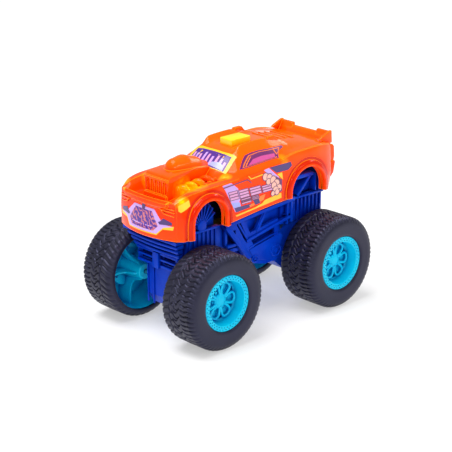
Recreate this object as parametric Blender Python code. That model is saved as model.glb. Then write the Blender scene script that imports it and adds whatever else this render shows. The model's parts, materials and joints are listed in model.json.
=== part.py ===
"""Light-up monster truck toy: every moulding, gear, axle and cell as its own solid.

The front of the truck is -Y, its left side is +X, and +Z is up. The origin is on the
ground, midway between the axles. Sizes below are in millimetres, and the one function
that makes objects turns them into Blender's metres.
"""

import math

import bpy
from mathutils import Vector

MM = 0.001
GAP = 0.3                      # clearance between two pieces that touch

# ---- driving dimensions ----------------------------------------------------------
TYRE_R = 36.0
TYRE_SIDES = 28
WHEEL_IN, WHEEL_OUT = 28.2, 61.6          # inner and outer face of each wheel, from the middle
RIM_R = 21.0                              # rim edge seen from outside
DRUM_R = 31.0                             # hollow drum that lines the tyre
AXLE_Y = 59.6                             # front axle at -AXLE_Y, rear axle at +AXLE_Y
AXLE_Z = TYRE_R
AXLE_R = 1.5
AXLE_END = 49.9

SKIN = 1.6                                # wall of the body shell, and floors of the tub
WALL = 2.0                                # side walls of the tub
BATTERY_R, BATTERY_L = 7.1, 50.0          # AA cell
BATTERY_PITCH = 14.8
BATTERY_Z = 54.7

TUB_X = 24.0                              # half width of the battery box
TUB_Y = 29.5
TUB_BOTTOM = 45.0
DECK_Z = 63.8                             # ceiling of the battery bay
TOWER_X = 26.5
FRONT_FLOOR, FRONT_TOP = 62.0, 80.0
REAR_FLOOR, REAR_TOP = 66.0, 84.0
TOWER_END = 72.0

MODULE = 0.8                              # gear module
PINION_TEETH, BIG_TEETH, SMALL_TEETH, FINAL_TEETH = 8, 24, 10, 28
SECOND_GEAR_AT, FIRST_GEAR_AT, MOTOR_AT = 57.0, 170.3, 172.0   # direction in degrees from the gear before
CASE_X = 19.3                             # half width of the gearbox
CASE_WALL = 1.8

BUTTON_X = 6.4                            # half width of the roof button
BUTTON_Y = (-4.4, 15.5)
BUTTON_TOP = 134.1
BUTTON_TRAVEL = 2.0
ROOF_UNDER = 127.6
BOARD_Z = 116.0                           # top face of the switch board under the roof

# Lines that run from nose to tail along the left half of the body shell, each as
# (y, x, z): bottom edge, side, belt, hood edge and glass foot, glass head, roof rail,
# foot of the rail, roof panel and centre line.
RAILS = (
    ((-80, 30.0, 79.2), (-72, 34.5, 79.2), (-60, 35.0, 80.0), (-38, 34.5, 82.5), (30, 34.5, 88.0),
     (66, 34.5, 87.5), (76, 29.5, 85.2), (80, 26.5, 84.6)),
    ((-80, 30.5, 94.0), (-72, 34.5, 94.0), (-58, 35.5, 95.0), (-32, 34.6, 96.0), (20, 34.6, 99.0),
     (44, 36.0, 102.0), (66, 35.0, 101.0), (76, 32.2, 99.0), (80, 29.6, 98.0)),
    ((-80, 29.0, 104.6), (-72, 31.0, 109.6), (-60, 33.0, 112.3), (-29, 33.5, 114.0), (10, 33.5, 117.0),
     (36, 34.0, 123.0), (58, 34.0, 123.6), (68, 32.5, 122.8), (76, 30.4, 120.6), (80, 28.6, 117.6)),
    ((-80, 23.5, 104.4), (-62, 26.0, 112.0), (-29, 27.5, 115.0), (-14, 29.5, 118.3), (14, 29.3, 120.4),
     (31, 27.5, 123.6), (58, 27.5, 124.3), (76, 26.0, 121.6), (80, 24.5, 118.6)),
    ((-80, 19.0, 103.6), (-62, 19.0, 110.0), (-38, 20.0, 112.6), (-25, 22.0, 116.2), (-13, 18.6, 125.4),
     (-2, 22.8, 127.2), (14, 23.3, 128.2), (32, 23.5, 126.2), (58, 21.0, 125.0),
     (76, 20.0, 122.0), (80, 19.0, 118.9)),
    ((-80, 15.0, 103.0), (-62, 15.0, 108.6), (-38, 16.0, 111.6), (-27, 17.0, 116.4), (-14, 15.8, 126.0),
     (-5, 17.5, 133.8), (14, 17.5, 134.6), (32, 17.5, 131.0), (44, 16.0, 127.4),
     (76, 15.0, 122.2), (80, 15.0, 119.0)),
    ((-80, 11.0, 102.8), (-62, 11.0, 108.0), (-38, 12.0, 111.2), (-28, 12.5, 116.5), (-15, 11.8, 126.2),
     (-5, 12.2, 129.6), (14, 12.2, 130.0), (32, 12.2, 128.8), (58, 12.0, 125.6),
     (76, 11.0, 122.3), (80, 11.0, 119.0)),
    ((-80, 5.5, 102.6), (-62, 5.5, 107.6), (-38, 6.0, 111.0), (-29, 6.2, 116.6), (-15.6, 6.0, 126.2),
     (-5, 6.0, 129.6), (14, 6.0, 130.0), (32, 6.0, 129.0), (58, 6.0, 126.0), (76, 5.5, 122.3),
     (80, 5.5, 119.0)),
    ((-80, 0.0, 102.5), (-62, 0.0, 107.6), (-38, 0.0, 111.0), (-29.5, 0.0, 116.6), (-16, 0.0, 126.2),
     (-5, 0.0, 129.6), (14, 0.0, 130.0), (32, 0.0, 129.0), (58, 0.0, 126.0), (76, 0.0, 122.3),
     (80, 0.0, 119.0)),
)
STATIONS = (-80, -72, -62, -50, -38, -28, -14, -5, 5, 14, 23, 32, 44, 58, 68, 76, 80)
NOSE_BULGE = (6.4, 5.2, 2.6)              # how far the nose's rows stand forward, bottom row first
TAIL_BULGE = (2.5, 3.8, 2.4)

FRONT_ARCH = (-52.6, 89.2, 15.4)          # y, z and radius of the wheel arch opening
REAR_ARCH = (47.4, 92.0, 17.4)
ARCH_LIP = 5.4                            # width of the lip round each arch
FLARE_X = 37.0


def paint(name, colour, roughness, metallic=0.0):
    """A Principled material in one plain colour."""
    material = bpy.data.materials.new(name)
    material.use_nodes = True
    shader = material.node_tree.nodes["Principled BSDF"]
    shader.inputs["Base Color"].default_value = (*colour, 1.0)
    shader.inputs["Roughness"].default_value = roughness
    shader.inputs["Metallic"].default_value = metallic
    material.diffuse_color = (*colour, 1.0)
    return material


def solid(name, points, faces, material, pivot=None):
    """One named object from points in millimetres, hung on a pivot empty if it moves."""
    home = Vector(pivot.location) if pivot else Vector((0, 0, 0))
    mesh = bpy.data.meshes.new(name)
    mesh.from_pydata([Vector(point) * MM - home for point in points], [], faces)
    mesh.materials.append(material)
    mesh.shade_smooth()
    mesh.set_sharp_from_angle(angle=math.radians(35))
    thing = bpy.data.objects.new(name, mesh)
    bpy.context.scene.collection.objects.link(thing)
    thing.parent = pivot
    return thing


def pivot(name, place):
    """An empty on a joint's axis, place in millimetres."""
    empty = bpy.data.objects.new(name, None)
    empty.location = Vector(place) * MM
    bpy.context.scene.collection.objects.link(empty)
    return empty


def prism(name, outline, axis, low, high, material, home=None):
    """An outline pushed from low to high along an axis; it lies in the other two axes."""
    order = {"X": (2, 0, 1), "Y": (0, 2, 1), "Z": (0, 1, 2)}[axis]

    def place(first, second, along):
        raw = (first, second, along)
        return [raw[index] for index in order]

    area = sum(a[0] * b[1] - b[0] * a[1] for a, b in zip(outline, outline[1:] + outline[:1]))
    loop = list(outline) if (area > 0) != (axis == "Y") else list(outline)[::-1]
    count = len(loop)
    points = [place(*point, low) for point in loop] + [place(*point, high) for point in loop]
    sides = [(k, (k + 1) % count, (k + 1) % count + count, k + count) for k in range(count)]
    caps = [tuple(range(count))[::-1], tuple(range(count, 2 * count))]
    return solid(name, points, sides + caps, material, home)


def box(name, low, high, material, home=None):
    """A block between two corners."""
    outline = [(low[0], low[1]), (high[0], low[1]), (high[0], high[1]), (low[0], high[1])]
    return prism(name, outline, "Z", low[2], high[2], material, home)


def circle(centre, radius, sides, phase=0.0):
    """A regular outline round a centre."""
    return [(centre[0] + radius * math.cos(phase + math.tau * k / sides),
             centre[1] + radius * math.sin(phase + math.tau * k / sides)) for k in range(sides)]


def rod(name, centre, radius, axis, low, high, material, sides=12, home=None):
    """A round bar along an axis."""
    return prism(name, circle(centre, radius, sides), axis, low, high, material, home)


def turned(name, profile, centre, sides, material, home=None, phase=0.0):
    """A profile of (x, radius) turned round an X axis at centre (y, z).

    The profile runs anticlockwise seen with x to the right and radius up.
    A radius of 0 closes the shape on the axis.
    """
    points, rings = [], []
    for x, radius in profile:
        count = sides if radius > 0 else 1
        rings.append(range(len(points), len(points) + count))
        points += [(x, *spot) for spot in circle(centre, radius, count, phase)]
    faces = []
    on_axis = profile[0][1] == 0
    for ring, following in zip(rings, rings[1:] + ([] if on_axis else rings[:1])):
        for k in range(sides):
            near = (ring[k % len(ring)], ring[(k + 1) % len(ring)])
            far = (following[(k + 1) % len(following)], following[k % len(following)])
            corners = list(dict.fromkeys(near + far))
            faces.append(tuple(corners))
    return solid(name, points, faces, material, home)


def combine(target, operation, tools):
    """Join tools to a piece, or cut them out of it, and use them up."""
    bpy.context.view_layer.objects.active = target
    for tool in tools:
        modifier = target.modifiers.new("shape", "BOOLEAN")
        modifier.operation = operation
        modifier.object = tool
        bpy.ops.object.modifier_apply(modifier=modifier.name)
        bpy.data.objects.remove(tool)
    return target


def gear_outline(teeth, centre, phase):
    """Plain tapered teeth with backlash, one tooth centred on the phase angle."""
    pitch_r = MODULE * teeth / 2
    root, tip = pitch_r - 1.15 * MODULE, pitch_r + 0.85 * MODULE
    step = math.tau / teeth
    points = []
    for tooth in range(teeth):
        middle = phase + tooth * step
        for radius, share in ((root, -0.30), (tip, -0.10), (tip, 0.10), (root, 0.30)):
            angle = middle + share * step
            points.append((centre[0] + radius * math.cos(angle), centre[1] + radius * math.sin(angle)))
    return points


def meshed_phase(teeth, phase, next_teeth, direction):
    """Phase of a gear that meshes with a first one, seen from the first in a direction."""
    return direction + math.pi - math.pi / next_teeth + (direction - phase) * teeth / next_teeth


def place_from(centre, teeth, next_teeth, degrees):
    """Centre of the next gear, one centre distance away in a direction."""
    distance = MODULE * (teeth + next_teeth) / 2
    angle = math.radians(degrees)
    return (centre[0] + distance * math.cos(angle), centre[1] + distance * math.sin(angle))


def on_rail(rail, y):
    """Point of a body line at a station along the truck."""
    y = min(max(y, rail[0][0]), rail[-1][0])
    for start, end in zip(rail, rail[1:]):
        if y <= end[0]:
            share = (y - start[0]) / (end[0] - start[0])
            return (start[1] + (end[1] - start[1]) * share, y, start[2] + (end[2] - start[2]) * share)


def shell_cage():
    """Open skin of the body: sides, hood, roof and deck, with a nose and a tail."""
    half = len(RAILS) - 1
    points, faces = [], []

    def add(point):
        points.append(point)
        return len(points) - 1

    rows = []
    for y in STATIONS:
        left = [on_rail(rail, y) for rail in RAILS]
        right = [(-x, y, z) for x, y, z in reversed(left[:-1])]
        rows.append([add(point) for point in left + right])
    for front, back in zip(rows, rows[1:]):
        for k in range(2 * half):
            faces.append((front[k], back[k], back[k + 1], front[k + 1]))

    for ring, bulges, forward in ((rows[0], NOSE_BULGE, -1), (rows[-1], TAIL_BULGE, 1)):
        top = ring[3:2 * half - 2]
        widest = points[top[0]][0]
        previous = top
        for level in (2, 1, 0):
            left, right = ring[level], ring[2 * half - level]
            edge_x, edge_y, edge_z = points[left]
            row = [left]
            for index in top[1:-1]:
                share = points[index][0] / widest
                bulge = bulges[level] * (1 - share * share)
                row.append(add((share * edge_x, edge_y + forward * bulge, edge_z)))
            row.append(right)
            for k in range(len(row) - 1):
                quad = (previous[k], previous[k + 1], row[k + 1], row[k])
                faces.append(quad[::-forward])
            previous = row
    return points, faces


def arch_outline(arch, spread, front_foot, rear_foot):
    """Round-topped outline of a wheel arch, widened by a spread, down to its two feet."""
    y, z, radius = arch
    radius += spread
    top = [(y + radius * math.cos(math.pi * k / 10), z + radius * math.sin(math.pi * k / 10))
           for k in range(11)]
    return [(y + radius, rear_foot)] + top + [(y - radius, front_foot)]


def shell_patch(name, corners, material, across=2, along=6, side=1):
    """A label that lies just off the shell, between four (line, y) corners."""
    def surface(line, y):
        low = min(int(line), len(RAILS) - 2)
        a, b = (Vector(on_rail(RAILS[low + k], y)) for k in (0, 1))
        return a.lerp(b, line - low)

    def outward(line, y):
        run = surface(line, y + 0.5) - surface(line, y - 0.5)
        rise = surface(line + 0.05, y) - surface(line - 0.05, y)
        return rise.cross(run).normalized() * -1

    (l0, y0), (l1, y1), (l2, y2), (l3, y3) = corners
    layers = []
    for lift in (GAP + 0.1, GAP + 0.4):
        layer = []
        for i in range(across + 1):
            u = i / across
            for j in range(along + 1):
                v = j / along
                line = (l0 * (1 - v) + l1 * v) * (1 - u) + (l3 * (1 - v) + l2 * v) * u
                y = (y0 * (1 - v) + y1 * v) * (1 - u) + (y3 * (1 - v) + y2 * v) * u
                point = surface(line, y) + outward(line, y) * lift
                layer.append((point.x * side, point.y, point.z))
        layers.append(layer)
    return slab(name, layers, across, along, material, side)


def slab(name, layers, across, along, material, side):
    """Close two matching grids of points into one thin plate."""
    count = (across + 1) * (along + 1)
    points = layers[0] + layers[1]
    faces = []

    def spot(i, j, layer):
        return layer * count + i * (along + 1) + j

    for i in range(across):
        for j in range(along):
            faces.append((spot(i, j, 1), spot(i + 1, j, 1), spot(i + 1, j + 1, 1), spot(i, j + 1, 1)))
            faces.append((spot(i, j, 0), spot(i, j + 1, 0), spot(i + 1, j + 1, 0), spot(i + 1, j, 0)))
    for i in range(across):
        for j, turn in ((0, 1), (along, -1)):
            faces.append((spot(i, j, 0), spot(i + 1, j, 0), spot(i + 1, j, 1), spot(i, j, 1))[::turn])
    for j in range(along):
        for i, turn in ((0, -1), (across, 1)):
            faces.append((spot(i, j, 0), spot(i, j + 1, 0), spot(i, j + 1, 1), spot(i, j, 1))[::turn])
    if side > 0:
        faces = [face[::-1] for face in faces]
    return solid(name, points, faces, material)


# ---- bodywork ------------------------------------------------------------------------
def make_body(plastic, label):
    """Translucent shell with arches, blower, button hole and posts, and its spoiler."""
    points, faces = shell_cage()
    shell = solid("body_shell", points, faces, plastic)
    bpy.context.view_layer.objects.active = shell
    wall = shell.modifiers.new("wall", "SOLIDIFY")
    wall.thickness = SKIN * MM
    wall.offset = -1
    wall.use_even_offset = False
    bpy.ops.object.modifier_apply(modifier=wall.name)

    for arch, feet in ((FRONT_ARCH, (79.6, 82.6)), (REAR_ARCH, (89.0, 88.0))):
        for side in (-1, 1):
            lip = prism("lip", arch_outline(arch, ARCH_LIP, *feet), "X",
                        *sorted((side * 31, side * FLARE_X)), plastic)
            for target in (shell, lip):
                combine(target, "DIFFERENCE", [prism("opening", arch_outline(arch, 0, 60, 60), "X",
                                                     *sorted((side * 20, side * 45)), plastic)])
            combine(shell, "UNION", [lip])

    blower = [(-74, 103), (-72.6, 117), (-70, 121.6), (-42, 121.2), (-33, 118), (-33, 103)]
    inside = [(-72, 100), (-70.9, 115.6), (-69, 119.6), (-43, 119.2), (-35, 116.4), (-35, 100)]
    combine(shell, "UNION", [
        prism("blower", blower, "X", -12.6, 12.6, plastic),
        turned("dome", [(11.5, 0)] + [(11.5 * math.cos(math.pi * k / 6), 10 * math.sin(math.pi * k / 6))
                                     for k in range(1, 6)] + [(-11.5, 0)], (-50, 120.4), 14, plastic),
        box("left_bank", (14.5, -64, 104), (22, -36, 113.4), plastic),
        box("right_bank", (-22, -64, 104), (-14.5, -36, 113.4), plastic)])
    combine(shell, "DIFFERENCE", [
        prism("blower_inside", inside, "X", -11, 11, plastic),
        box("mouth", (-10.4, -80, 110), (10.4, -71.4, 117), plastic),
        box("button_hole", (-BUTTON_X - GAP, BUTTON_Y[0] - GAP, 120),
            (BUTTON_X + GAP, BUTTON_Y[1] + GAP, 140), plastic)])

    posts = [((20, -50), 64.0, 109.5), ((-20, -50), 64.0, 109.5),
             ((21.8, 56), 68.0, 123.8), ((-21.8, 56), 68.0, 123.8),
             ((0, -9), BOARD_Z + GAP, 127.2), ((0, 27), BOARD_Z + GAP, 128.2)]
    for place, low, high in posts:
        thick, bore, deep = (2.4, 1.4, 20.0) if low < 100 else (2.4, 1.1, 7.0)
        combine(shell, "UNION", [rod("post", place, thick, "Z", low, high, plastic, 10)])
        combine(shell, "DIFFERENCE", [rod("bore", place, bore, "Z", low - 5, low + deep, plastic, 10)])

    wing = [(68.6, 125.0), (76.6, 122.9), (80.4, 119.9), (82.9, 119.6), (82.4, 126.6), (80.2, 126.6)]
    spoiler = prism("rear_spoiler", wing, "X", -26.3, 26.3, plastic)
    tip = [(70.0, 124.8), (76.6, 123.0), (80.4, 120.0), (83.2, 119.7), (82.4, 129.4), (80.2, 129.4)]
    combine(spoiler, "UNION", [prism("tip", tip, "X", *sorted((side * 11, side * 26.6)), plastic)
                               for side in (-1, 1)])

    for side, word in ((1, "left"), (-1, "right")):
        shell_patch(f"door_label_{word}", ((0.35, -29), (0.3, 22), (1.88, 27), (1.9, -36)), label,
                    along=5, side=side)
    windscreen = [(20.4, 117.4), (16.2, 125.0), (-16.2, 125.0), (-20.4, 117.4)]
    foot_y, head_y = -27.6, -15.6
    layers = []
    for lift in (GAP + 0.9, GAP + 1.2):
        layer = []
        for i in range(2):
            half_width, z = windscreen[i]
            y = (foot_y, head_y)[i]
            for j in range(7):
                share = j / 3 - 1
                layer.append((-share * half_width, y - lift - 0.8 * (1 - share * share), z + lift))
        layers.append(layer)
    slab("windscreen_label", layers, 1, 6, label, -1)
    layers = []
    for lift in (GAP + 0.1, GAP + 0.4):
        layer = []
        for half_width, z, bulge in ((14, 83, 6.2), (21, 92, 5.5), (11, 98.2, 4.1)):
            for j in range(7):
                x = half_width * (1 - j / 3)
                layer.append((x, -80 - bulge * (1 - (x / 30) ** 2) - 1.0 - lift, z))
        layers.append(layer)
    slab("grille_label", layers, 2, 6, label, -1)


def make_button(plastic, steel, board_green, clear, dark, metal):
    """Push button in the roof with its return spring, switch board, switch and lamps."""
    home = pivot("roof_button_pivot", (0, sum(BUTTON_Y) / 2, ROOF_UNDER))
    button = box("roof_button", (-BUTTON_X, BUTTON_Y[0], ROOF_UNDER - 0.6),
                 (BUTTON_X, BUTTON_Y[1], BUTTON_TOP), plastic, home)
    combine(button, "UNION", [
        box("flange", (-7.8, BUTTON_Y[0] - 1.4, ROOF_UNDER - 1.4), (7.8, BUTTON_Y[1] + 1.4, ROOF_UNDER),
            plastic, home),
        rod("stem", (0, sum(BUTTON_Y) / 2), 1.6, "Z", 122.5, ROOF_UNDER, plastic, 10, home)])
    middle = (0, sum(BUTTON_Y) / 2)

    board = box("switch_board", (-9, -12, BOARD_Z - 1.2), (9, 30, BOARD_Z), board_green)
    combine(board, "DIFFERENCE", [rod("hole", (0, y), 1.2, "Z", 110, 120, board_green, 10) for y in (-9, 27)])
    for word, y in (("front", -9), ("rear", 27)):
        screw(f"switch_board_screw_{word}", (0, y), "Z", BOARD_Z - 1.2 - GAP, 1, 0.8, 6.5, steel, 2.0)
    switch = box("roof_switch", (-3, middle[1] - 3, BOARD_Z + GAP), (3, middle[1] + 3, BOARD_Z + 3.5), dark)
    combine(switch, "UNION", [rod("plunger", middle, 1.6, "Z", BOARD_Z + 2, BOARD_Z + 4.2, dark, 8)])
    coil("button_spring", middle, 5.1, 0.35, BOARD_Z + GAP + 0.4, ROOF_UNDER - 1.4 - GAP - 0.4, 5, metal)
    for word, y in (("front", -3), ("rear", 20)):
        rod(f"lamp_{word}", (0, y), 2.5, "Z", 106.5, BOARD_Z - 1.2 - GAP, clear, 10)


def coil(name, centre, radius, wire, low, high, turns, material):
    """A helical spring with square-cut ends."""
    steps = 8 * turns
    sides = 4
    points, faces = [], []
    for step in range(steps + 1):
        angle = math.tau * turns * step / steps
        out = Vector((math.cos(angle), math.sin(angle), 0))
        core = Vector((centre[0], centre[1], low + (high - low) * step / steps)) + out * radius
        for k in range(sides):
            tilt = math.tau * k / sides
            points.append(core + out * wire * math.cos(tilt) + Vector((0, 0, wire * math.sin(tilt))))
    for step in range(steps):
        for k in range(sides):
            a, b = step * sides + k, step * sides + (k + 1) % sides
            faces.append((a, b, b + sides, a + sides)[::-1])
    faces.append(tuple(range(sides)))
    faces.append(tuple(range(steps * sides, (steps + 1) * sides))[::-1])
    return solid(name, points, faces, material)


def screw(name, centre, axis, seat, direction, shank, length, material, head=2.4, home=None):
    """A pan-head screw whose head rests at seat and whose shank runs in a direction."""
    ends = sorted((seat, seat - direction * 1.5))
    body = rod(name, centre, head, axis, *ends, material, 10, home)
    ends = sorted((seat - direction * 0.7, seat + direction * length))
    return combine(body, "UNION", [rod("shank", centre, shank, axis, *ends, material, 8, home)])


# ---- chassis ---------------------------------------------------------------------------
def make_chassis(plastic, steel):
    """Tub with its battery bay and two towers, lattice sides, bulkhead and axle housing."""
    tub = box("chassis_tub", (-TUB_X, -TUB_Y, TUB_BOTTOM), (TUB_X, TUB_Y, FRONT_TOP), plastic)
    combine(tub, "UNION", [
        box("front_tower", (-TOWER_X, -67.6, FRONT_FLOOR), (TOWER_X, -TUB_Y + 2, FRONT_TOP), plastic),
        box("rear_tower", (-TOWER_X, TUB_Y - 2, REAR_FLOOR), (TOWER_X, TOWER_END, REAR_TOP), plastic),
        box("screw_block", (-6, -36.4, 45.4), (6, -TUB_Y + 1, FRONT_FLOOR + 1), plastic)])
    tray_x = TOWER_X - WALL
    combine(tub, "DIFFERENCE", [
        box("tray", (WALL - TUB_X, -TUB_Y - 4, DECK_Z), (TUB_X - WALL, TUB_Y + 4, 95), plastic),
        box("front_tray", (-tray_x, -66, FRONT_FLOOR + SKIN), (tray_x, -TUB_Y, 95), plastic),
        box("rear_tray", (-tray_x, TUB_Y, REAR_FLOOR + SKIN), (tray_x, TOWER_END - SKIN, 95), plastic),
        box("bay", (-22.4, -27.7, 40), (22.4, 27.7, DECK_Z - 1.5), plastic),
        box("tongue_notch", (-6.4, -37.0, 40), (6.4, -26, TUB_BOTTOM + SKIN + GAP), plastic),
        box("knob_slot", (-2.2, -45.2, 60), (2.2, -36.6, 66), plastic),
        rod("door_bore", (0, -32.5), 1.4, "Z", 40, 56, plastic, 10)])
    for x, y in ((20, -50), (-20, -50), (21.8, 56), (-21.8, 56)):
        combine(tub, "DIFFERENCE", [rod("hole", (x, y), 1.7, "Z", 55, 70, plastic, 10)])
        seat = (FRONT_FLOOR if y < 0 else REAR_FLOOR) - GAP
        words = ("front" if y < 0 else "rear", "left" if x > 0 else "right")
        screw("body_screw_{}_{}".format(*words), (x, y), "Z", seat, 1, 1.1, 16, steel, 2.2)

    frame = [(-34, 82.2), (-34, 77.8), (-29.5, 77.2), (-8.5, 51.5), (-2.5, 43.2), (9, 40.2), (20.5, 40.6),
             (30, 45), (36, 60), (38, 68), (38, 82.6), (29, 87.2)]
    windows = ([(-21, 78), (-16.8, 78.4), (-10.5, 65.8), (-12.4, 63.2)],
               [(-12.6, 78.8), (5.4, 80.6), (-1.4, 69.4), (-7.2, 68.4)],
               [(9.6, 81), (33, 82.6), (33, 75), (3.2, 70)],
               [(-7, 63.6), (4, 65.6), (18, 68), (18, 60), (-1.5, 55.2)])
    for side, word in ((1, "left"), (-1, "right")):
        near, far = sorted((side * (TOWER_X + GAP), side * (TOWER_X + GAP + 2.6)))
        flank = prism(f"side_frame_{word}", frame, "X", near, far, plastic)
        combine(flank, "DIFFERENCE", [prism("window", window, "X", near - 5, far + 5, plastic)
                                      for window in windows])
        combine(flank, "DIFFERENCE", [box("tyre_room", (near - 9, lo, 30), (far + 9, hi, 74.2), plastic)
                                      for lo, hi in ((-60, -22.0), (22.0, 60))])
        combine(flank, "DIFFERENCE", [box("tower_room", (near - 9, 36.5, 70), (far + 9, 60, 90), plastic)])

    bulkhead = box("front_bulkhead", (-23, -71, 52), (23, -67.9, 79), plastic)
    bars = [box("bar", (-half, -reach, low), (half, -70, low + 2.6), plastic)
            for half, reach, low in ((24, 73.5, 63), (25, 75, 67), (26, 77, 71), (29, 80, 75.6))]
    block = box("block", (-3, -73.5, 50.2), (3, -70, 61), plastic)
    combine(bulkhead, "UNION", bars + [block])
    slots = [box("slot", (x, -75, z), (x + 12, -60, z + 2.4), plastic)
             for x in (-18, 6) for z in (54, 58)]
    combine(bulkhead, "DIFFERENCE", slots)

    keel = [(-70.2, 49.6), (-70.2, 27), (-65, 18.6), (-54, 18.6), (-49, 26), (-47.5, 61.7), (-67.4, 61.7),
            (-67.4, 49.6)]
    housing = prism("front_axle_housing", keel, "X", -14, 14, plastic)
    combine(housing, "DIFFERENCE", [
        rod("bearing_bore", (-AXLE_Y, AXLE_Z), 3.0, "X", -20, 20, plastic),
        box("core", (-12, -65, 42), (12, -40, 59.5), plastic)])


def make_battery(plastic, cell_jacket, nickel, steel):
    """Three cells, their two contact strips and the lift-off door with its screw."""
    for number, x in enumerate((-BATTERY_PITCH, 0, BATTERY_PITCH), 1):
        end = BATTERY_L / 2
        flip = -1 if number == 2 else 1
        cell = rod(f"cell_{number}", (x, BATTERY_Z), BATTERY_R, "Y",
                   *sorted((-flip * end, flip * (end - 1.2))), cell_jacket, 16)
        combine(cell, "UNION", [rod("nub", (x, BATTERY_Z), 2.6, "Y", *sorted((flip * (end - 3), flip * end)),
                                    cell_jacket, 8)])
    for word, low, high in (("front", -27.3, -26.7), ("rear", 26.7, 27.3)):
        box(f"battery_contact_{word}", (-21.6, low, 48.6), (21.6, high, 61), nickel)
    home = pivot("battery_door_pivot", (0, 0, TUB_BOTTOM))
    door = box("battery_door", (-22, -27.3, TUB_BOTTOM), (22, 27.3, TUB_BOTTOM + 1.6), plastic, home)
    tongue = box("tongue", (-6, -36.6, TUB_BOTTOM), (6, -26, TUB_BOTTOM + 1.6), plastic, home)
    combine(door, "UNION", [tongue])
    combine(door, "DIFFERENCE", [rod("hole", (0, -32.5), 1.3, "Z", 40, 50, plastic, 10)])
    screw("battery_door_screw", (0, -32.5), "Z", TUB_BOTTOM - GAP, 1, 0.95, 9, steel, 2.4, home)


def make_electrics(dark, board_green, knob_plastic, metal):
    """Speaker, main board and power switch in the tub."""
    speaker = rod("speaker", (0, -54.4), 11.4, "Z", FRONT_FLOOR + SKIN + GAP, 68.5, dark, 18)
    combine(speaker, "DIFFERENCE", [rod("cone", (0, -54.4), 9.6, "Z", 67.3, 70, dark, 18)])
    board = box("control_board", (-16, -20, DECK_Z + 1.4), (16, 24, DECK_Z + 2.6), board_green)
    combine(board, "UNION", [box("chip", (-6, -5, DECK_Z + 2), (6, 7, DECK_Z + 4.4), board_green),
                             rod("capacitor", (10, 16), 3, "Z", DECK_Z + 2, DECK_Z + 9, board_green, 10)])
    floor = FRONT_FLOOR + SKIN
    box("power_switch_body", (-4, -42.3, floor + GAP), (4, -33.4, floor + 5), dark)
    home = pivot("power_switch_pivot", (0, -38, FRONT_FLOOR))
    box("power_switch_knob", (-1.8, -40.4, 59.6), (1.8, -37.0, floor), knob_plastic, home)


# ---- running gear ------------------------------------------------------------------------
def make_wheels(tyre_rubber, rim_plastic, steel, brass):
    """Two live axles, each with two hollow wheels and bushings in the chassis."""
    apothem = math.cos(math.pi / TYRE_SIDES)
    tread = TYRE_R / apothem                       # a flat of the tyre stands on the ground
    half_step = math.pi / TYRE_SIDES
    tyre = [(WHEEL_OUT, 22.0), (WHEEL_OUT, 31.4), (59.4, 34.6), (57.2, tread), (32.6, tread),
            (30.4, 34.6), (WHEEL_IN, 32.4), (WHEEL_IN, DRUM_R + GAP), (58.6, DRUM_R + GAP),
            (58.6, RIM_R + GAP), (60.9, RIM_R + GAP)]
    rim = [(54, 0), (52, 8.5), (52, 13.8), (60.7, 16.6), (60.7, RIM_R - 0.1), (58.2, RIM_R - 0.1),
           (58.2, DRUM_R), (28.8, DRUM_R), (28.8, DRUM_R - 1.6), (56.4, DRUM_R - 1.6), (56.4, 17.4),
           (50.2, 15.4), (50.2, 8.4), (WHEEL_IN + GAP, 6), (WHEEL_IN + GAP, 1.9), (50.6, 1.9), (50.6, 0)]
    bushing = [(3.0, 2.8), (0.0, 2.8), (0.0, 1.95), (4.2, 1.95), (4.2, 3.9), (3.0, 3.9)]
    for word, y, wall in (("front", -AXLE_Y, 14.0), ("rear", AXLE_Y, CASE_X)):
        home = pivot(f"{word}_axle_pivot", (0, y, AXLE_Z))
        rod(f"{word}_axle", (y, AXLE_Z), AXLE_R, "X", -AXLE_END, AXLE_END, steel, 12, home)
        for side, hand in ((1, "left"), (-1, "right")):
            for name, profile, sides, material in (("tyre", tyre, TYRE_SIDES, tyre_rubber),
                                                   ("rim", rim, 20, rim_plastic)):
                flipped = [(side * x, radius) for x, radius in profile][::-side]
                turned(f"{name}_{word}_{hand}", flipped, (y, AXLE_Z), sides, material, home, half_step)
            seat = [(side * (wall + GAP - 3.0 + x), radius) for x, radius in bushing][::-side]
            turned(f"bushing_{word}_{hand}", seat, (y, AXLE_Z), 12, brass)


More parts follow.
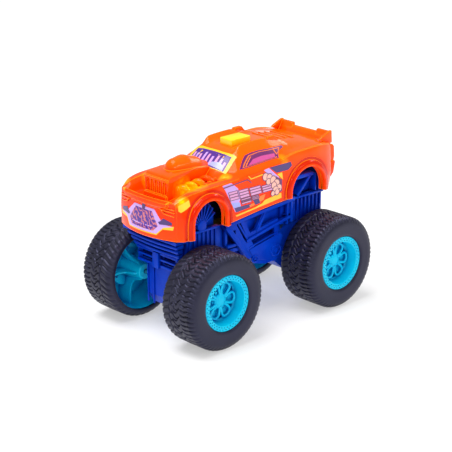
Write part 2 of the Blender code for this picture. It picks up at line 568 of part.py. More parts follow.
def make_drive(plastic, metal, brass, nylon, steel):
    """Gearbox with its cover, motor, pinion, two compound gears and the axle gear."""
    axle = (AXLE_Y, AXLE_Z)
    second = place_from(axle, FINAL_TEETH, SMALL_TEETH, SECOND_GEAR_AT)
    first = place_from(second, BIG_TEETH, SMALL_TEETH, FIRST_GEAR_AT)
    rotor = place_from(first, BIG_TEETH, PINION_TEETH, MOTOR_AT)

    outer = [(29.8, 65.7), (29.8, 33.5), (38.5, 26), (50, 21.8), (70, 21.8), (80.6, 34), (80.6, 62),
             (77, 65.7)]
    inner = [(31.4, 64.1), (31.4, 34.4), (39.2, 27.6), (50.4, 23.4), (69.3, 23.4), (79, 34.6), (79, 61.4),
             (76.4, 64.1)]
    inside = CASE_X - CASE_WALL
    case = prism("gearbox_case", outer, "X", -CASE_X, inside - GAP, plastic)
    corners = ((33.4, 62.3), (73.6, 61.4))
    combine(case, "DIFFERENCE", [prism("cavity", inner, "X", -inside, 25, plastic)])
    combine(case, "UNION", [rod("post", spot, 2.2, "X", -inside - 0.5, inside - GAP, plastic, 10)
                            for spot in corners])
    combine(case, "DIFFERENCE", [rod("bearing_bore", axle, 3.0, "X", -25, -10, plastic)]
            + [rod("bore", spot, 1.2, "X", 4, 25, plastic, 8) for spot in corners])
    cover = prism("gearbox_cover", outer, "X", inside, CASE_X, plastic)
    combine(cover, "DIFFERENCE", [rod("bearing_bore", axle, 3.0, "X", 10, 25, plastic)]
            + [rod("hole", spot, 1.4, "X", 10, 25, plastic, 8) for spot in corners])
    for number, spot in enumerate(corners, 1):
        screw(f"gearbox_screw_{number}", spot, "X", CASE_X + GAP, -1, 0.9, 9, steel, 2.2)

    can = [(y, max(min(z, rotor[1] + 7.5), rotor[1] - 7.5)) for y, z in circle(rotor, 10, 24, math.pi / 24)]
    motor = prism("motor", can, "X", -17.0, 7.8, metal)
    combine(motor, "UNION", [rod("nose", rotor, 3, "X", 7, 9, metal, 12)])
    combine(motor, "DIFFERENCE", [rod("bore", rotor, 1.35, "X", 1, 12, metal, 10)])
    spin = pivot("motor_pivot", (0, *rotor))
    rod("motor_shaft", rotor, 1.0, "X", 2, 16.6, steel, 10, spin)

    second_phase = meshed_phase(FINAL_TEETH, 0, SMALL_TEETH, math.radians(SECOND_GEAR_AT))
    first_phase = meshed_phase(BIG_TEETH, second_phase, SMALL_TEETH, math.radians(FIRST_GEAR_AT))
    rotor_phase = meshed_phase(BIG_TEETH, first_phase, PINION_TEETH, math.radians(MOTOR_AT))
    rear = bpy.data.objects["rear_axle_pivot"]
    gear("axle_gear", axle, ((FINAL_TEETH, 0, 5.4, 8.6),), AXLE_R + 0.35, nylon, rear)
    for number, centre, phase, big, small in ((1, first, first_phase, (13.2, 15.8), (9.2, 13.6)),
                                              (2, second, second_phase, (9.4, 12.0), (5.2, 9.8))):
        home = pivot(f"compound_gear_{number}_pivot", (0, *centre))
        gear(f"compound_gear_{number}", centre,
             ((BIG_TEETH, phase, *big), (SMALL_TEETH, phase, *small)), 1.3, nylon, home)
        rod(f"gear_pin_{number}", centre, 1.0, "X", -inside + GAP, inside - GAP, steel, 8)
    gear("motor_pinion", rotor, ((PINION_TEETH, rotor_phase, 12.9, 16.2),), 1.35, brass, spin)


def gear(name, centre, wheels, bore, material, home):
    """One gear, or two on one hub, from (teeth, phase, low x, high x) wheels."""
    parts = [prism(name, gear_outline(teeth, centre, phase), "X", low, high, material, home)
             for teeth, phase, low, high in wheels]
    combine(parts[0], "UNION", parts[1:])
    return combine(parts[0], "DIFFERENCE", [rod("bore", centre, bore, "X", 0, 25, material, 10, home)])


def main():
    for thing in list(bpy.data.objects):
        bpy.data.objects.remove(thing)
    orange = paint("translucent_orange", (1.0, 0.12, 0.005), 0.2)
    blue = paint("royal_blue", (0.005, 0.03, 0.5), 0.35)
    cyan = paint("cyan_rim", (0.0, 0.5, 0.85), 0.3)
    tyre = paint("tyre_vinyl", (0.05, 0.05, 0.06), 0.6)
    yellow = paint("button_yellow", (1.0, 0.72, 0.0), 0.3)
    label = paint("foil_label", (0.28, 0.08, 0.4), 0.4)
    steel = paint("steel", (0.6, 0.6, 0.62), 0.3, 1.0)
    brass = paint("brass", (0.75, 0.55, 0.25), 0.35, 1.0)
    nylon = paint("white_nylon", (0.85, 0.85, 0.8), 0.45)
    dark = paint("black_plastic", (0.02, 0.02, 0.02), 0.5)
    green = paint("circuit_board", (0.02, 0.22, 0.08), 0.5)
    jacket = paint("cell_jacket", (0.06, 0.2, 0.1), 0.3)
    clear = paint("clear_lens", (0.9, 0.9, 0.9), 0.1)
    make_body(orange, label)
    make_button(yellow, steel, green, clear, dark, steel)
    make_chassis(blue, steel)
    make_battery(blue, jacket, steel, steel)
    make_electrics(dark, green, dark, steel)
    make_wheels(tyre, cyan, steel, brass)
    make_drive(blue, steel, brass, nylon, steel)


main()
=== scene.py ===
"""Light-up monster truck toy: its moulded finish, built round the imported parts.

The front of the truck is -Y, its left side is +X, and +Z is up. Sizes are in
millimetres, and MM turns them into Blender's metres where a mesh is placed.
"""

import json
import math

import bpy
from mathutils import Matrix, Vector


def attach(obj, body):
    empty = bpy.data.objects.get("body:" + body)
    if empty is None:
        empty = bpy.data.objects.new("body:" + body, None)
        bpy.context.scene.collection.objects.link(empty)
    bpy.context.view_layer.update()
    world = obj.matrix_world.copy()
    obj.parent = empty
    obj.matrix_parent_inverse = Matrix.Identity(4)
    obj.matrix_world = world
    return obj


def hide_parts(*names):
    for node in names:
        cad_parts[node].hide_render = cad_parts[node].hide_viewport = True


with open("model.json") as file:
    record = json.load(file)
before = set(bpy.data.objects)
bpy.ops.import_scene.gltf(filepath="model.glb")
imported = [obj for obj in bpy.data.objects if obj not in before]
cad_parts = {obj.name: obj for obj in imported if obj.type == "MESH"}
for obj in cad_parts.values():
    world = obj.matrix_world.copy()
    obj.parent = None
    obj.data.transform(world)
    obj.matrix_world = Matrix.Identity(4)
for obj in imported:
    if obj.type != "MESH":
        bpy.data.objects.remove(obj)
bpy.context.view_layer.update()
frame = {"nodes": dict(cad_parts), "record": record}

MM = 0.001

# ---- the body's own lines --------------------------------------------------------
# Lines from nose to tail along the left half of the shell, each as (y, x, z) keys:
# bottom edge, side, belt, hood edge and glass foot, glass head, roof rail, foot of
# the rail, roof panel and centre line.
RAILS = (
    ((-80, 30.2, 79.2), (-75.6, 34.4, 79.3), (-72, 35.0, 79.4), (-60, 35.0, 80.0), (-38, 34.5, 82.5),
     (30, 34.5, 88.0), (66, 34.5, 87.5), (76, 29.5, 85.2),
     (80, 26.5, 84.6)),
    ((-80, 30.6, 94.0), (-75.4, 34.2, 94.0), (-72, 35.0, 94.0), (-58, 35.5, 95.0), (-32, 34.6, 96.0),
     (20, 34.6, 99.0), (44, 36.0, 102.0), (66, 35.0, 101.0), (76, 32.2, 99.0),
     (80, 29.6, 98.0)),
    ((-80, 29.4, 106.4), (-72, 31.6, 111.0), (-60, 33.0, 112.8), (-29, 33.5, 114.0), (10, 33.5, 117.0),
     (36, 34.0, 123.0), (58, 34.0, 123.6), (68, 32.5, 122.8), (76, 30.4, 120.6), (80, 28.6, 117.6)),
    ((-80, 26.0, 107.0), (-73, 26.6, 111.0), (-62, 26.0, 112.8), (-29, 27.5, 115.0), (-14, 29.5, 118.3),
     (14, 29.3, 120.4), (31, 27.5, 123.6), (58, 27.5, 124.3), (76, 26.0, 121.6),
     (80, 24.5, 118.6)),
    ((-80, 22.6, 105.6), (-73, 22.8, 109.0), (-62, 22.6, 110.6), (-38, 22.8, 112.0), (-25, 23.0, 116.2),
     (-13, 20.6, 125.6), (-2, 23.0, 127.3), (14, 23.3, 128.2), (32, 23.5, 126.2), (58, 21.0, 125.0),
     (76, 20.0, 122.0),
     (80, 19.0, 118.9)),
    ((-80, 19.6, 102.9), (-73, 20.0, 103.6), (-62, 20.4, 105.0), (-38, 20.6, 108.4), (-27, 17.0, 116.4),
     (-14, 15.8, 126.0), (-5, 17.5, 133.8), (14, 17.5, 134.6), (32, 17.5, 131.0), (44, 16.0, 127.4),
     (76, 15.0, 122.2),
     (80, 15.0, 119.0)),
    ((-80, 13.0, 102.8), (-73, 13.0, 103.2), (-62, 13.0, 104.4), (-38, 13.0, 108.0), (-28, 12.5, 116.5),
     (-15, 11.8, 126.2), (-5, 12.2, 129.6), (14, 12.2, 130.0), (32, 12.2, 128.8), (58, 12.0, 125.6),
     (76, 11.0, 122.3),
     (80, 11.0, 119.0)),
    ((-80, 5.5, 102.8), (-73, 5.5, 103.2), (-62, 5.5, 104.4), (-38, 6.0, 108.0), (-29, 6.2, 116.6),
     (-15.6, 6.0, 126.2), (-5, 6.0, 129.6), (14, 6.0, 130.0), (32, 6.0, 129.0), (58, 6.0, 126.0),
     (76, 5.5, 122.3),
     (80, 5.5, 119.0)),
    ((-80, 0.0, 102.8), (-73, 0.0, 103.2), (-62, 0.0, 104.4), (-38, 0.0, 108.0), (-29.5, 0.0, 116.6),
     (-16, 0.0, 126.2), (-5, 0.0, 129.6), (14, 0.0, 130.0), (32, 0.0, 129.0), (58, 0.0, 126.0),
     (76, 0.0, 122.3),
     (80, 0.0, 119.0)),
)
CREASE_R = (0, 2.2, 0.8, 0.8, 1.2, 1.4, 1.2, 3.0, 3.0)   # softness of each line
NOSE_Y, TAIL_Y = -80, 80
SKIN = 1.6
FRONT_ARCH = (-52.6, 89.2, 15.4)          # y, z and radius of the wheel arch opening
REAR_ARCH = (47.4, 92.0, 17.4)
LIP_W = 4.9                               # width of the flare round each arch
TREAD_DEPTH = 1.15
GROOVE_W = 2.6                            # width of the groove round that flare
AXLES_Y = (-59.6, 59.6)
AXLE_Z = 36.0
BUTTON_Y = 5.55                           # middle of the roof button
GLOWS_AND_HIGHLIGHTS = (                            # (middle of a yellow spot, reach): painted highlights at the headers, the headlight lamps' glow, painted highlights at the hips and cowl
    ((20, -57, 109), 14), ((-20, -57, 109), 11), ((31, -75, 107), 6), ((-31, -75, 107), 6),
    ((29, 24, 116), 7), ((-29, 24, 116), 7), ((25, -28, 113), 6), ((-25, -28, 113), 6))


# ---- materials -------------------------------------------------------------------
def srgb(code):
    """Linear colour, with alpha, from an sRGB hex code."""
    parts = [int(code[k:k + 2], 16) / 255 for k in (1, 3, 5)]
    return (*(c / 12.92 if c <= 0.04045 else ((c + 0.055) / 1.055) ** 2.4 for c in parts), 1.0)


def add(tree, kind, settings=None, links=None):
    """Add one node. Settings are its sockets, its properties or a ramp's stops; links feed its sockets."""
    node = tree.nodes.new("ShaderNode" + kind)
    for key, value in (settings or {}).items():
        if key == "stops":
            while len(node.color_ramp.elements) < len(value):
                node.color_ramp.elements.new(1.0)
            for element, (position, code) in zip(node.color_ramp.elements, value):
                element.position = position
                element.color = srgb(code)
        elif isinstance(key, int) or key in node.inputs:
            node.inputs[key].default_value = value
        else:
            setattr(node, key, value)
    for key, source in (links or {}).items():
        tree.links.new(source, node.inputs[key])
    return node


def new_material(name, code, roughness, **sockets):
    """A Principled material; other sockets are named with underscores for spaces."""
    material = bpy.data.materials.new(name)
    material.use_nodes = True
    tree = material.node_tree
    shader = tree.nodes["Principled BSDF"]
    shader.inputs["Base Color"].default_value = srgb(code)
    shader.inputs["Roughness"].default_value = roughness
    for socket, value in sockets.items():
        shader.inputs[socket.replace("_", " ")].default_value = value
    return material, tree, shader


def grain(tree, shader, millimetres, depth, rough):
    """Fine moulding grain, drawn coarser than the real one so that it shows; the gloss and the
    colour wander over patches about 14 mm across."""
    place = add(tree, "TexCoord").outputs["Object"]
    fine = add(tree, "TexNoise", {"Scale": 1 / (millimetres * MM), "Detail": 3.0}, {"Vector": place})
    broad = add(tree, "TexNoise", {"Scale": 1 / (14 * MM), "Detail": 2.0}, {"Vector": place})
    gloss = add(tree, "MapRange", {"To Min": rough[0], "To Max": rough[1]},
                {"Value": broad.outputs["Fac"]})
    bump = add(tree, "Bump", {"Strength": 0.35, "Distance": depth * MM},
               {"Height": fine.outputs["Fac"]})
    tree.links.new(gloss.outputs[0], shader.inputs["Roughness"])
    tree.links.new(bump.outputs[0], shader.inputs["Normal"])
    return broad


def lit_polystyrene():
    """Clear orange polystyrene, moulded with a polished skin, over lamps.

    The eye gets sharp gloss over a soft inner light. Painted light is laid into its colour and its
    glow: redder low on the sides and lighter towards the roof, painted shade in hollows and in a band
    round each arch flare, a painted highlight along edges, and painted yellow highlights at the
    headers, hips and cowl beside the glow where a headlight lamp sits close behind.
    """
    material, tree, shader = new_material(
        "clear_orange_polystyrene", "#FF4A00", 0.16, IOR=1.59, Specular_IOR_Level=0.12,
        Specular_Tint=srgb("#FFB040"), Subsurface_Weight=0.1, Subsurface_Radius=(1.0, 0.28, 0.04),
        Subsurface_Scale=3 * MM, Coat_Weight=0.28, Coat_Roughness=0.05, Emission_Strength=1.0)
    place = add(tree, "TexCoord").outputs["Object"]
    spot = add(tree, "SeparateXYZ", links={0: place})

    # Painted light by height, from the sill at 80 mm to the roof at 131: redder low on the sides and
    # lighter towards the roof, as light falls from above, with clouds of tone about 22 mm across.
    rise = add(tree, "MapRange", {"From Min": 80 * MM, "From Max": 131 * MM},
               {"Value": spot.outputs["Z"]})
    cloud = add(tree, "TexNoise", {"Scale": 1 / (22 * MM), "Detail": 1.5}, {"Vector": place})
    wander = add(tree, "Math", {"operation": "MULTIPLY_ADD", 1: 0.3, 2: -0.15},
                 {0: cloud.outputs["Fac"]})
    level = add(tree, "Math", {"operation": "ADD"}, {0: rise.outputs[0], 1: wander.outputs[0]})
    body = add(tree, "ValToRGB", {"stops": ((0.0, "#FF3A00"), (0.3, "#FF2200"), (0.62, "#FF3E00"),
                                            (1.0, "#FF6200"))}, {0: level.outputs[0]})

    # Glow of the headlight lamps, and painted yellow highlights at the headers, hips and cowl, in patches
    # about 4 mm across.
    glow_and_highlight_sum = None
    for centre, reach in GLOWS_AND_HIGHLIGHTS:
        away = add(tree, "VectorMath", {"operation": "DISTANCE", 1: [c * MM for c in centre]},
                   {0: place})
        near = add(tree, "MapRange", {"From Min": reach * MM, "From Max": reach * 0.2 * MM},
                   {"Value": away.outputs["Value"]}).outputs[0]
        glow_and_highlight_sum = near if glow_and_highlight_sum is None else add(tree, "Math", {"operation": "MAXIMUM"},
                                                     {0: glow_and_highlight_sum, 1: near}).outputs[0]
    streak = add(tree, "TexNoise", {"Scale": 1 / (4 * MM), "Detail": 2.0}, {"Vector": place})
    patch = add(tree, "MapRange", {"From Min": 0.38, "From Max": 0.62, "To Min": 0.5},
                {"Value": streak.outputs["Fac"]})
    glow_and_highlight = add(tree, "Math", {"operation": "MULTIPLY"}, {0: glow_and_highlight_sum, 1: patch.outputs[0]})

    # Painted highlight along edges: where the surface turns within 0.8 mm.
    rounded = add(tree, "Bevel", {"samples": 4, "Radius": 0.8 * MM})
    bend = add(tree, "VectorMath", {"operation": "DOT_PRODUCT"},
               {0: rounded.outputs[0], 1: add(tree, "NewGeometry").outputs["Normal"]})
    edge = add(tree, "MapRange", {"From Min": 0.992, "From Max": 0.9, "To Max": 0.75},
               {"Value": bend.outputs["Value"]})

    # Painted shade in hollows, and in a band round each arch over the outer flare and the groove beside
    # it.
    shelter = add(tree, "AmbientOcclusion", {"samples": 4, "Distance": 5 * MM})
    open_air = add(tree, "MapRange", {"From Min": 0.35, "From Max": 0.85},
                   {"Value": shelter.outputs["AO"]})
    nearest = None
    for y, z, radius in (FRONT_ARCH, REAR_ARCH):
        above = add(tree, "Math", {"operation": "MAXIMUM", 1: z * MM}, {0: spot.outputs["Z"]})
        flat = add(tree, "CombineXYZ", links={"Y": spot.outputs["Y"], "Z": above.outputs[0]})
        away = add(tree, "VectorMath", {"operation": "DISTANCE", 1: (0, y * MM, z * MM)},
                   {0: flat.outputs[0]})
        past = add(tree, "Math", {"operation": "SUBTRACT", 1: radius * MM},
                   {0: away.outputs["Value"]}).outputs[0]
        nearest = past if nearest is None else add(tree, "Math", {"operation": "MINIMUM"},
                                                   {0: nearest, 1: past}).outputs[0]
    begin = add(tree, "MapRange", {"From Min": 1.6 * MM, "From Max": 2.6 * MM}, {"Value": nearest})
    close = add(tree, "MapRange", {"From Min": 8.6 * MM, "From Max": 7.2 * MM}, {"Value": nearest})
    wide = add(tree, "Math", {"operation": "ABSOLUTE"}, {0: spot.outputs["X"]})
    flank = add(tree, "MapRange", {"From Min": 32 * MM, "From Max": 33.5 * MM, "To Max": 0.78},
                {"Value": wide.outputs[0]})
    band = add(tree, "Math", {"operation": "MULTIPLY"}, {0: begin.outputs[0], 1: close.outputs[0]})
    thick = add(tree, "Math", {"operation": "MULTIPLY"}, {0: band.outputs[0], 1: flank.outputs[0]})
    thin = add(tree, "Math", {"operation": "SUBTRACT", 0: 1.0}, {1: thick.outputs[0]})
    open_air = add(tree, "Math", {"operation": "MULTIPLY"}, {0: open_air.outputs[0],
                                                             1: thin.outputs[0]})

    # For the base colour and then the glow: the painted shade colour, the colour in open air, the painted
    # edge highlight colour, and the yellow for the lamp glow and painted highlights.
    for socket, hollow_shade, open_colour, rim, lamp in (
            ("Base Color", "#BC0800", body.outputs[0], "#FF9A20", "#FFB400"),
            ("Emission Color", "#580800", None, "#D87000", "#FFA000")):
        deep = add(tree, "Mix", {"data_type": "RGBA", 6: srgb(hollow_shade), 7: srgb("#A42C00")},
                   {0: open_air.outputs[0]})
        if open_colour:
            tree.links.new(open_colour, deep.inputs[7])
        lit = add(tree, "Mix", {"data_type": "RGBA", 7: srgb(rim)},
                  {0: edge.outputs[0], 6: deep.outputs[2]})
        mixed = add(tree, "Mix", {"data_type": "RGBA", 7: srgb(lamp)},
                    {0: glow_and_highlight.outputs[0], 6: lit.outputs[2]})
        tree.links.new(mixed.outputs[2], shader.inputs[socket])
    return material


def printed_film(name, code):
    """Ink printed on vinyl film: flat colour with fine print flecks, under a thin gloss."""
    material, tree, shader = new_material("printed_film_" + name, code, 0.3, Coat_Weight=0.4,
                                          Coat_Roughness=0.15, Emission_Strength=0.12)
    place = add(tree, "TexCoord").outputs["Object"]
    dots = add(tree, "TexNoise", {"Scale": 1 / (0.7 * MM), "Detail": 2.0}, {"Vector": place})
    shade = add(tree, "MapRange", {"To Min": 0.86, "To Max": 1.14}, {"Value": dots.outputs["Fac"]})
    fleck = add(tree, "HueSaturation", {"Color": srgb(code)}, {"Value": shade.outputs[0]})
    tree.links.new(fleck.outputs[0], shader.inputs["Base Color"])
    tree.links.new(fleck.outputs[0], shader.inputs["Emission Color"])
    return material


def printed_mesh():
    """A printed grille: purple ground with curled orange-pink threads about 1.3 mm apart."""
    material, tree, shader = new_material("printed_film_grille_mesh", "#5A2A96", 0.3, Coat_Weight=0.3,
                                          Coat_Roughness=0.15, Emission_Strength=0.12)
    place = add(tree, "TexCoord").outputs["Object"]
    threads = add(tree, "TexWave", {"wave_type": "BANDS", "bands_direction": "DIAGONAL",
                                    "Scale": 1 / (8.0 * MM), "Distortion": 9.0, "Detail": 1.0,
                                    "Detail Scale": 2.2}, {"Vector": place})
    colour = add(tree, "ValToRGB", {"stops": ((0.35, "#4A1C90"), (0.62, "#6A2E96"), (0.8, "#C86A78"))},
                 {0: threads.outputs["Color"]})
    tree.links.new(colour.outputs[0], shader.inputs["Base Color"])
    tree.links.new(colour.outputs[0], shader.inputs["Emission Color"])
    return material


def moulded(name, code, low_code, hollow_shade_code, roughness, grain_mm=0.5, **sockets):
    """Moulded plastic: satin, with a slight colour drift and fine grain, and painted shade in its hollows.
    """
    material, tree, shader = new_material(name, code, roughness[0], IOR=1.54, **sockets)
    broad = grain(tree, shader, grain_mm, 0.05, roughness)
    colour = add(tree, "ValToRGB", {"stops": ((0.3, low_code), (0.7, code))}, {0: broad.outputs["Fac"]})
    shelter = add(tree, "AmbientOcclusion", {"samples": 4, "Distance": 7 * MM})
    open_air = add(tree, "MapRange", {"From Min": 0.3, "From Max": 0.8},
                   {"Value": shelter.outputs["AO"]})
    mixed = add(tree, "Mix", {"data_type": "RGBA", 6: srgb(hollow_shade_code)},
                {0: open_air.outputs[0], 7: colour.outputs[0]})
    tree.links.new(mixed.outputs[2], shader.inputs["Base Color"])
    return material


orange = lit_polystyrene()
# Blue ABS, the chassis: satin and saturated, with a cool sheen and navy painted shade in its hollows.
blue = moulded("royal_blue_abs", "#0044D4", "#0034C0", "#001478", (0.26, 0.38), Specular_IOR_Level=0.3,
               Specular_Tint=srgb("#6090FF"))
# Cyan ABS, the wheels: matt and bright, with painted shade turning it blue in the dish and other hollows.
cyan = moulded("cyan_abs", "#00D2F4", "#00BEEA", "#0070B8", (0.3, 0.42), Specular_IOR_Level=0.15)
# Soft PVC, the tyres: charcoal with a bluish bloom, a fine leathery grain and near-black painted shade in
# its hollows.
vinyl = moulded("soft_black_pvc", "#1F1F2B", "#16161F", "#06060A", (0.36, 0.5), 0.35,
                Specular_Tint=srgb("#C8C8FF"))
# Yellow ABS, the button: clean and glossier than the rest, with deeper yellow painted shade in its
# hollows.
yellow = moulded("yellow_abs", "#FFEA18", "#FFDA08", "#FFB000", (0.22, 0.3))
INKS = {name: printed_film(name, code) for name, code in (
    ("purple", "#4A1488"), ("plum", "#6A1862"), ("magenta", "#C9468F"), ("lilac", "#C8A0E8"),
    ("pink", "#DE9CCB"), ("pale", "#F6B8A8"), ("violet", "#43246E"), ("yellow", "#FFC400"),
    ("orange", "#FF7A10"), ("sky", "#9FA8EE"), ("maroon", "#6A2A5C"))}
INKS["mesh"] = printed_mesh()
# Amber polystyrene, the headlights: polished, warm and lit from behind, with orange painted shade in its
# hollows.
INKS["lens"] = moulded("amber_polystyrene_lens", "#FFC83C", "#FFA820", "#F08000", (0.08, 0.16),
                       Emission_Strength=0.4, Emission_Color=srgb("#FFB030"))


# ---- ways of making a piece ---------------------------------------------------------
def ease(value, low, high):
    """0 below low, 1 above high, smooth between."""
    t = min(max((value - low) / (high - low), 0.0), 1.0)
    return t * t * (3 - 2 * t)


def lay(axis, a, b, along):
    """Place a drawn point (a, b) at a height along an axis, in metres."""
    point = {"X": (along, a, b), "Y": (a, along, b), "Z": (a, b, along)}[axis]
    return Vector(point) * MM


def apply_modifier(piece, kind, **settings):
    """Add a modifier with its settings and apply it."""
    modifier = piece.modifiers.new(kind.lower(), kind)
    for key, value in settings.items():
        setattr(modifier, key, value)
    bpy.context.view_layer.objects.active = piece
    bpy.ops.object.modifier_apply(modifier=modifier.name)


def soften(piece, width, segments=2, degrees=30):
    """Round the edges off, as a mould does."""
    if width:
        apply_modifier(piece, "BEVEL", width=width * MM, segments=segments, limit_method="ANGLE",
                       angle_limit=math.radians(degrees), harden_normals=False)
    smooth(piece)
    return piece


def smooth(piece, degrees=40):
    """Smooth shading, broken at sharper edges."""
    bpy.ops.object.select_all(action="DESELECT")
    piece.select_set(True)
    bpy.context.view_layer.objects.active = piece
    bpy.ops.object.shade_smooth_by_angle(angle=math.radians(degrees))


def drawn(name, outline, axis, low, high, soft=0.3, segments=2):
    """A drawn outline pushed from low to high along an axis, with soft edges."""
    bpy.ops.object.select_all(action="DESELECT")
    bpy.ops.mesh.primitive_circle_add(vertices=len(outline), fill_type="NGON")
    piece = bpy.context.active_object
    piece.name = name
    for vertex, (a, b) in zip(piece.data.vertices, outline):
        vertex.co = lay(axis, a, b, low)
    bpy.ops.object.mode_set(mode="EDIT")
    bpy.ops.mesh.select_all(action="SELECT")
    bpy.ops.mesh.extrude_region_move(TRANSFORM_OT_translate={"value": lay(axis, 0, 0, high - low)})
    bpy.ops.mesh.select_all(action="SELECT")
    bpy.ops.mesh.normals_make_consistent(inside=False)
    bpy.ops.object.mode_set(mode="OBJECT")
    return soften(piece, soft, segments)


def circle(a, b, radius, count):
    """Spots round a circle, as an outline."""
    return [(a + radius * math.cos(math.tau * k / count), b + radius * math.sin(math.tau * k / count))
            for k in range(count)]


def block(name, low, high, soft=0.4, segments=2):
    """A soft-edged block between two corners."""
    outline = [(low[0], low[1]), (high[0], low[1]), (high[0], high[1]), (low[0], high[1])]
    return drawn(name, outline, "Z", low[2], high[2], soft, segments)


def bar(name, start, end, width, axis, low, high, soft=0.3):
    """A flat bar drawn from one spot to another."""
    run = Vector(end) - Vector(start)
    out = Vector((-run.y, run.x)).normalized() * width / 2
    corners = ((start, -1), (end, -1), (end, 1), (start, 1))
    outline = [tuple(Vector(spot) + way * out) for spot, way in corners]
    return drawn(name, outline, axis, low, high, soft)


def turned(name, profile, centre, steps):
    """A closed profile of (x, radius) spun about an X axis through centre (y, z)."""
    bpy.ops.object.select_all(action="DESELECT")
    bpy.ops.mesh.primitive_circle_add(vertices=len(profile), fill_type="NOTHING")
    piece = bpy.context.active_object
    piece.name = name
    for vertex, (x, radius) in zip(piece.data.vertices, profile):
        vertex.co = Vector((x, centre[0], centre[1] + radius)) * MM
    bpy.ops.object.mode_set(mode="EDIT")
    bpy.ops.mesh.select_all(action="SELECT")
    bpy.ops.mesh.spin(steps=steps, angle=math.tau, center=Vector((0, *centre)) * MM, axis=(1, 0, 0))
    bpy.ops.mesh.select_all(action="SELECT")
    bpy.ops.mesh.remove_doubles(threshold=0.002 * MM)
    bpy.ops.mesh.normals_make_consistent(inside=False)
    bpy.ops.object.mode_set(mode="OBJECT")
    smooth(piece)
    return piece


def tube(name, points, radius, closed=False, sides=4):
    """A round bar that follows a smooth line through points."""
    curve = bpy.data.curves.new(name, "CURVE")
    curve.dimensions = "3D"
    curve.bevel_depth = radius * MM
    curve.bevel_resolution = sides
    curve.use_fill_caps = True
    spline = curve.splines.new("NURBS")
    spline.points.add(len(points) - 1)
    for spot, point in zip(spline.points, points):
        spot.co = (*(Vector(point) * MM), 1.0)
    spline.use_cyclic_u = closed
    spline.use_endpoint_u = not closed
    spline.order_u = 3
    spline.resolution_u = 6
    piece = bpy.data.objects.new(name, curve)
    bpy.context.scene.collection.objects.link(piece)
    bpy.ops.object.select_all(action="DESELECT")
    piece.select_set(True)
    bpy.context.view_layer.objects.active = piece
    bpy.ops.object.convert(target="MESH")
    smooth(piece)
    return piece


def joined(name, pieces):
    """Several shapes as one moulding."""
    bpy.ops.object.select_all(action="DESELECT")
    for piece in pieces:
        piece.select_set(True)
    bpy.context.view_layer.objects.active = pieces[0]
    if len(pieces) > 1:
        bpy.ops.object.join()
    pieces[0].name = name
    return pieces[0]


def copied(piece, name):
    """A copy with its own mesh."""
    twin = piece.copy()
    twin.data = piece.data.copy()
    twin.name = name
    bpy.context.scene.collection.objects.link(twin)
    return twin


def mirrored(piece, name):
    """A copy on the other side of the truck."""
    twin = copied(piece, name)
    for vertex in twin.data.vertices:
        vertex.co.x = -vertex.co.x
    twin.data.flip_normals()
    return twin


def moved(piece, shift):
    """Shift a piece's mesh, so that its object stays at the origin."""
    for vertex in piece.data.vertices:
        vertex.co += Vector(shift) * MM
    return piece


def both_sides(name, pieces):
    """Shapes modelled on the left, joined with their mirror image on the right."""
    left = joined(name, pieces)
    return joined(name, [left, mirrored(left, name + "_twin")])


def cut(piece, cutters):
    """Cut shapes out of a piece and use them up."""
    tool = joined("cutter", cutters)
    apply_modifier(piece, "BOOLEAN", operation="DIFFERENCE", object=tool, solver="EXACT")
    bpy.data.objects.remove(tool)


def finish(piece, material, body="chassis", nodes=()):
    """Give a piece its material, and hand it to the body that it rides on."""
    if material:
        piece.data.materials.clear()
        piece.data.materials.append(material)
    if nodes:
        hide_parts(*nodes)
    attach(piece, body)
    return piece


# ---- shell -----------------------------------------------------------------------------
def on_line(keys, y):
    """Point of a body line at a station, on a smooth curve with no overshoot."""
    y = min(max(y, keys[0][0]), keys[-1][0])
    last = max(k for k in range(len(keys) - 1) if keys[k][0] <= y or k == 0)
    point = [0, y, 0]
    for field, spot in ((1, 0), (2, 2)):
        steps = [(b[field] - a[field]) / (b[0] - a[0]) for a, b in zip(keys, keys[1:])]

        def slope(k):
            if k in (0, len(keys) - 1):
                return steps[min(k, len(steps) - 1)]
            before, after = steps[k - 1], steps[k]
            return 2 * before * after / (before + after) if before * after > 0 else 0.0

        run = keys[last + 1][0] - keys[last][0]
        t = (y - keys[last][0]) / run
        start, end = keys[last][field], keys[last + 1][field]
        leaving, arriving = run * slope(last), run * slope(last + 1)
        point[spot] = ((2 * t ** 3 - 3 * t ** 2 + 1) * start + (t ** 3 - 2 * t ** 2 + t) * leaving
                       + (-2 * t ** 3 + 3 * t ** 2) * end + (t ** 3 - t ** 2) * arriving)
    return Vector(point)


def section(y):
    """One cross section of the body, bottom edge to bottom edge, with rounded creases."""
    left = [on_line(keys, y) for keys in RAILS]
    full = left + [Vector((-p.x, p.y, p.z)) for p in reversed(left[:-1])]
    radii = list(CREASE_R) + list(CREASE_R[-2::-1])
    points, corners = [full[0]], [0]
    for k in range(1, len(full) - 1):
        before, here, after = full[k - 1:k + 2]
        room = 0.42 * min((here - before).length, (after - here).length)
        radius = min(radii[k], room)
        start = here + (before - here).normalized() * radius
        end = here + (after - here).normalized() * radius
        points += [points[-1].lerp(start, 1 / 3), points[-1].lerp(start, 2 / 3), start]
        corners.append(len(points))
        points += [start * 0.25 + here * 0.5 + end * 0.25, end]
    points += [points[-1].lerp(full[-1], 1 / 3), points[-1].lerp(full[-1], 2 / 3), full[-1]]
    corners.append(len(points) - 1)
    return points, corners


def reach_at(table, z):
    """Value of a (z, reach) table at a height."""
    if z <= table[0][0]:
        return table[0][1]
    for (z0, r0), (z1, r1) in zip(table, table[1:]):
        if z <= z1:
            return r0 + (r1 - r0) * (z - z0) / (z1 - z0)
    return table[-1][1]


PROW = 3.6                                # how far the hood's front edge stands out in the middle
NOSE_REACH = ((79.2, 6.9), (84.6, 7.1), (85.8, 5.9), (94, 5.2), (100.0, 3.9), (104.6, 3.7))
TAIL_REACH = ((84.6, 1.2), (88, 1.8), (98, 2.2), (110, 1.8), (118, 1.2))


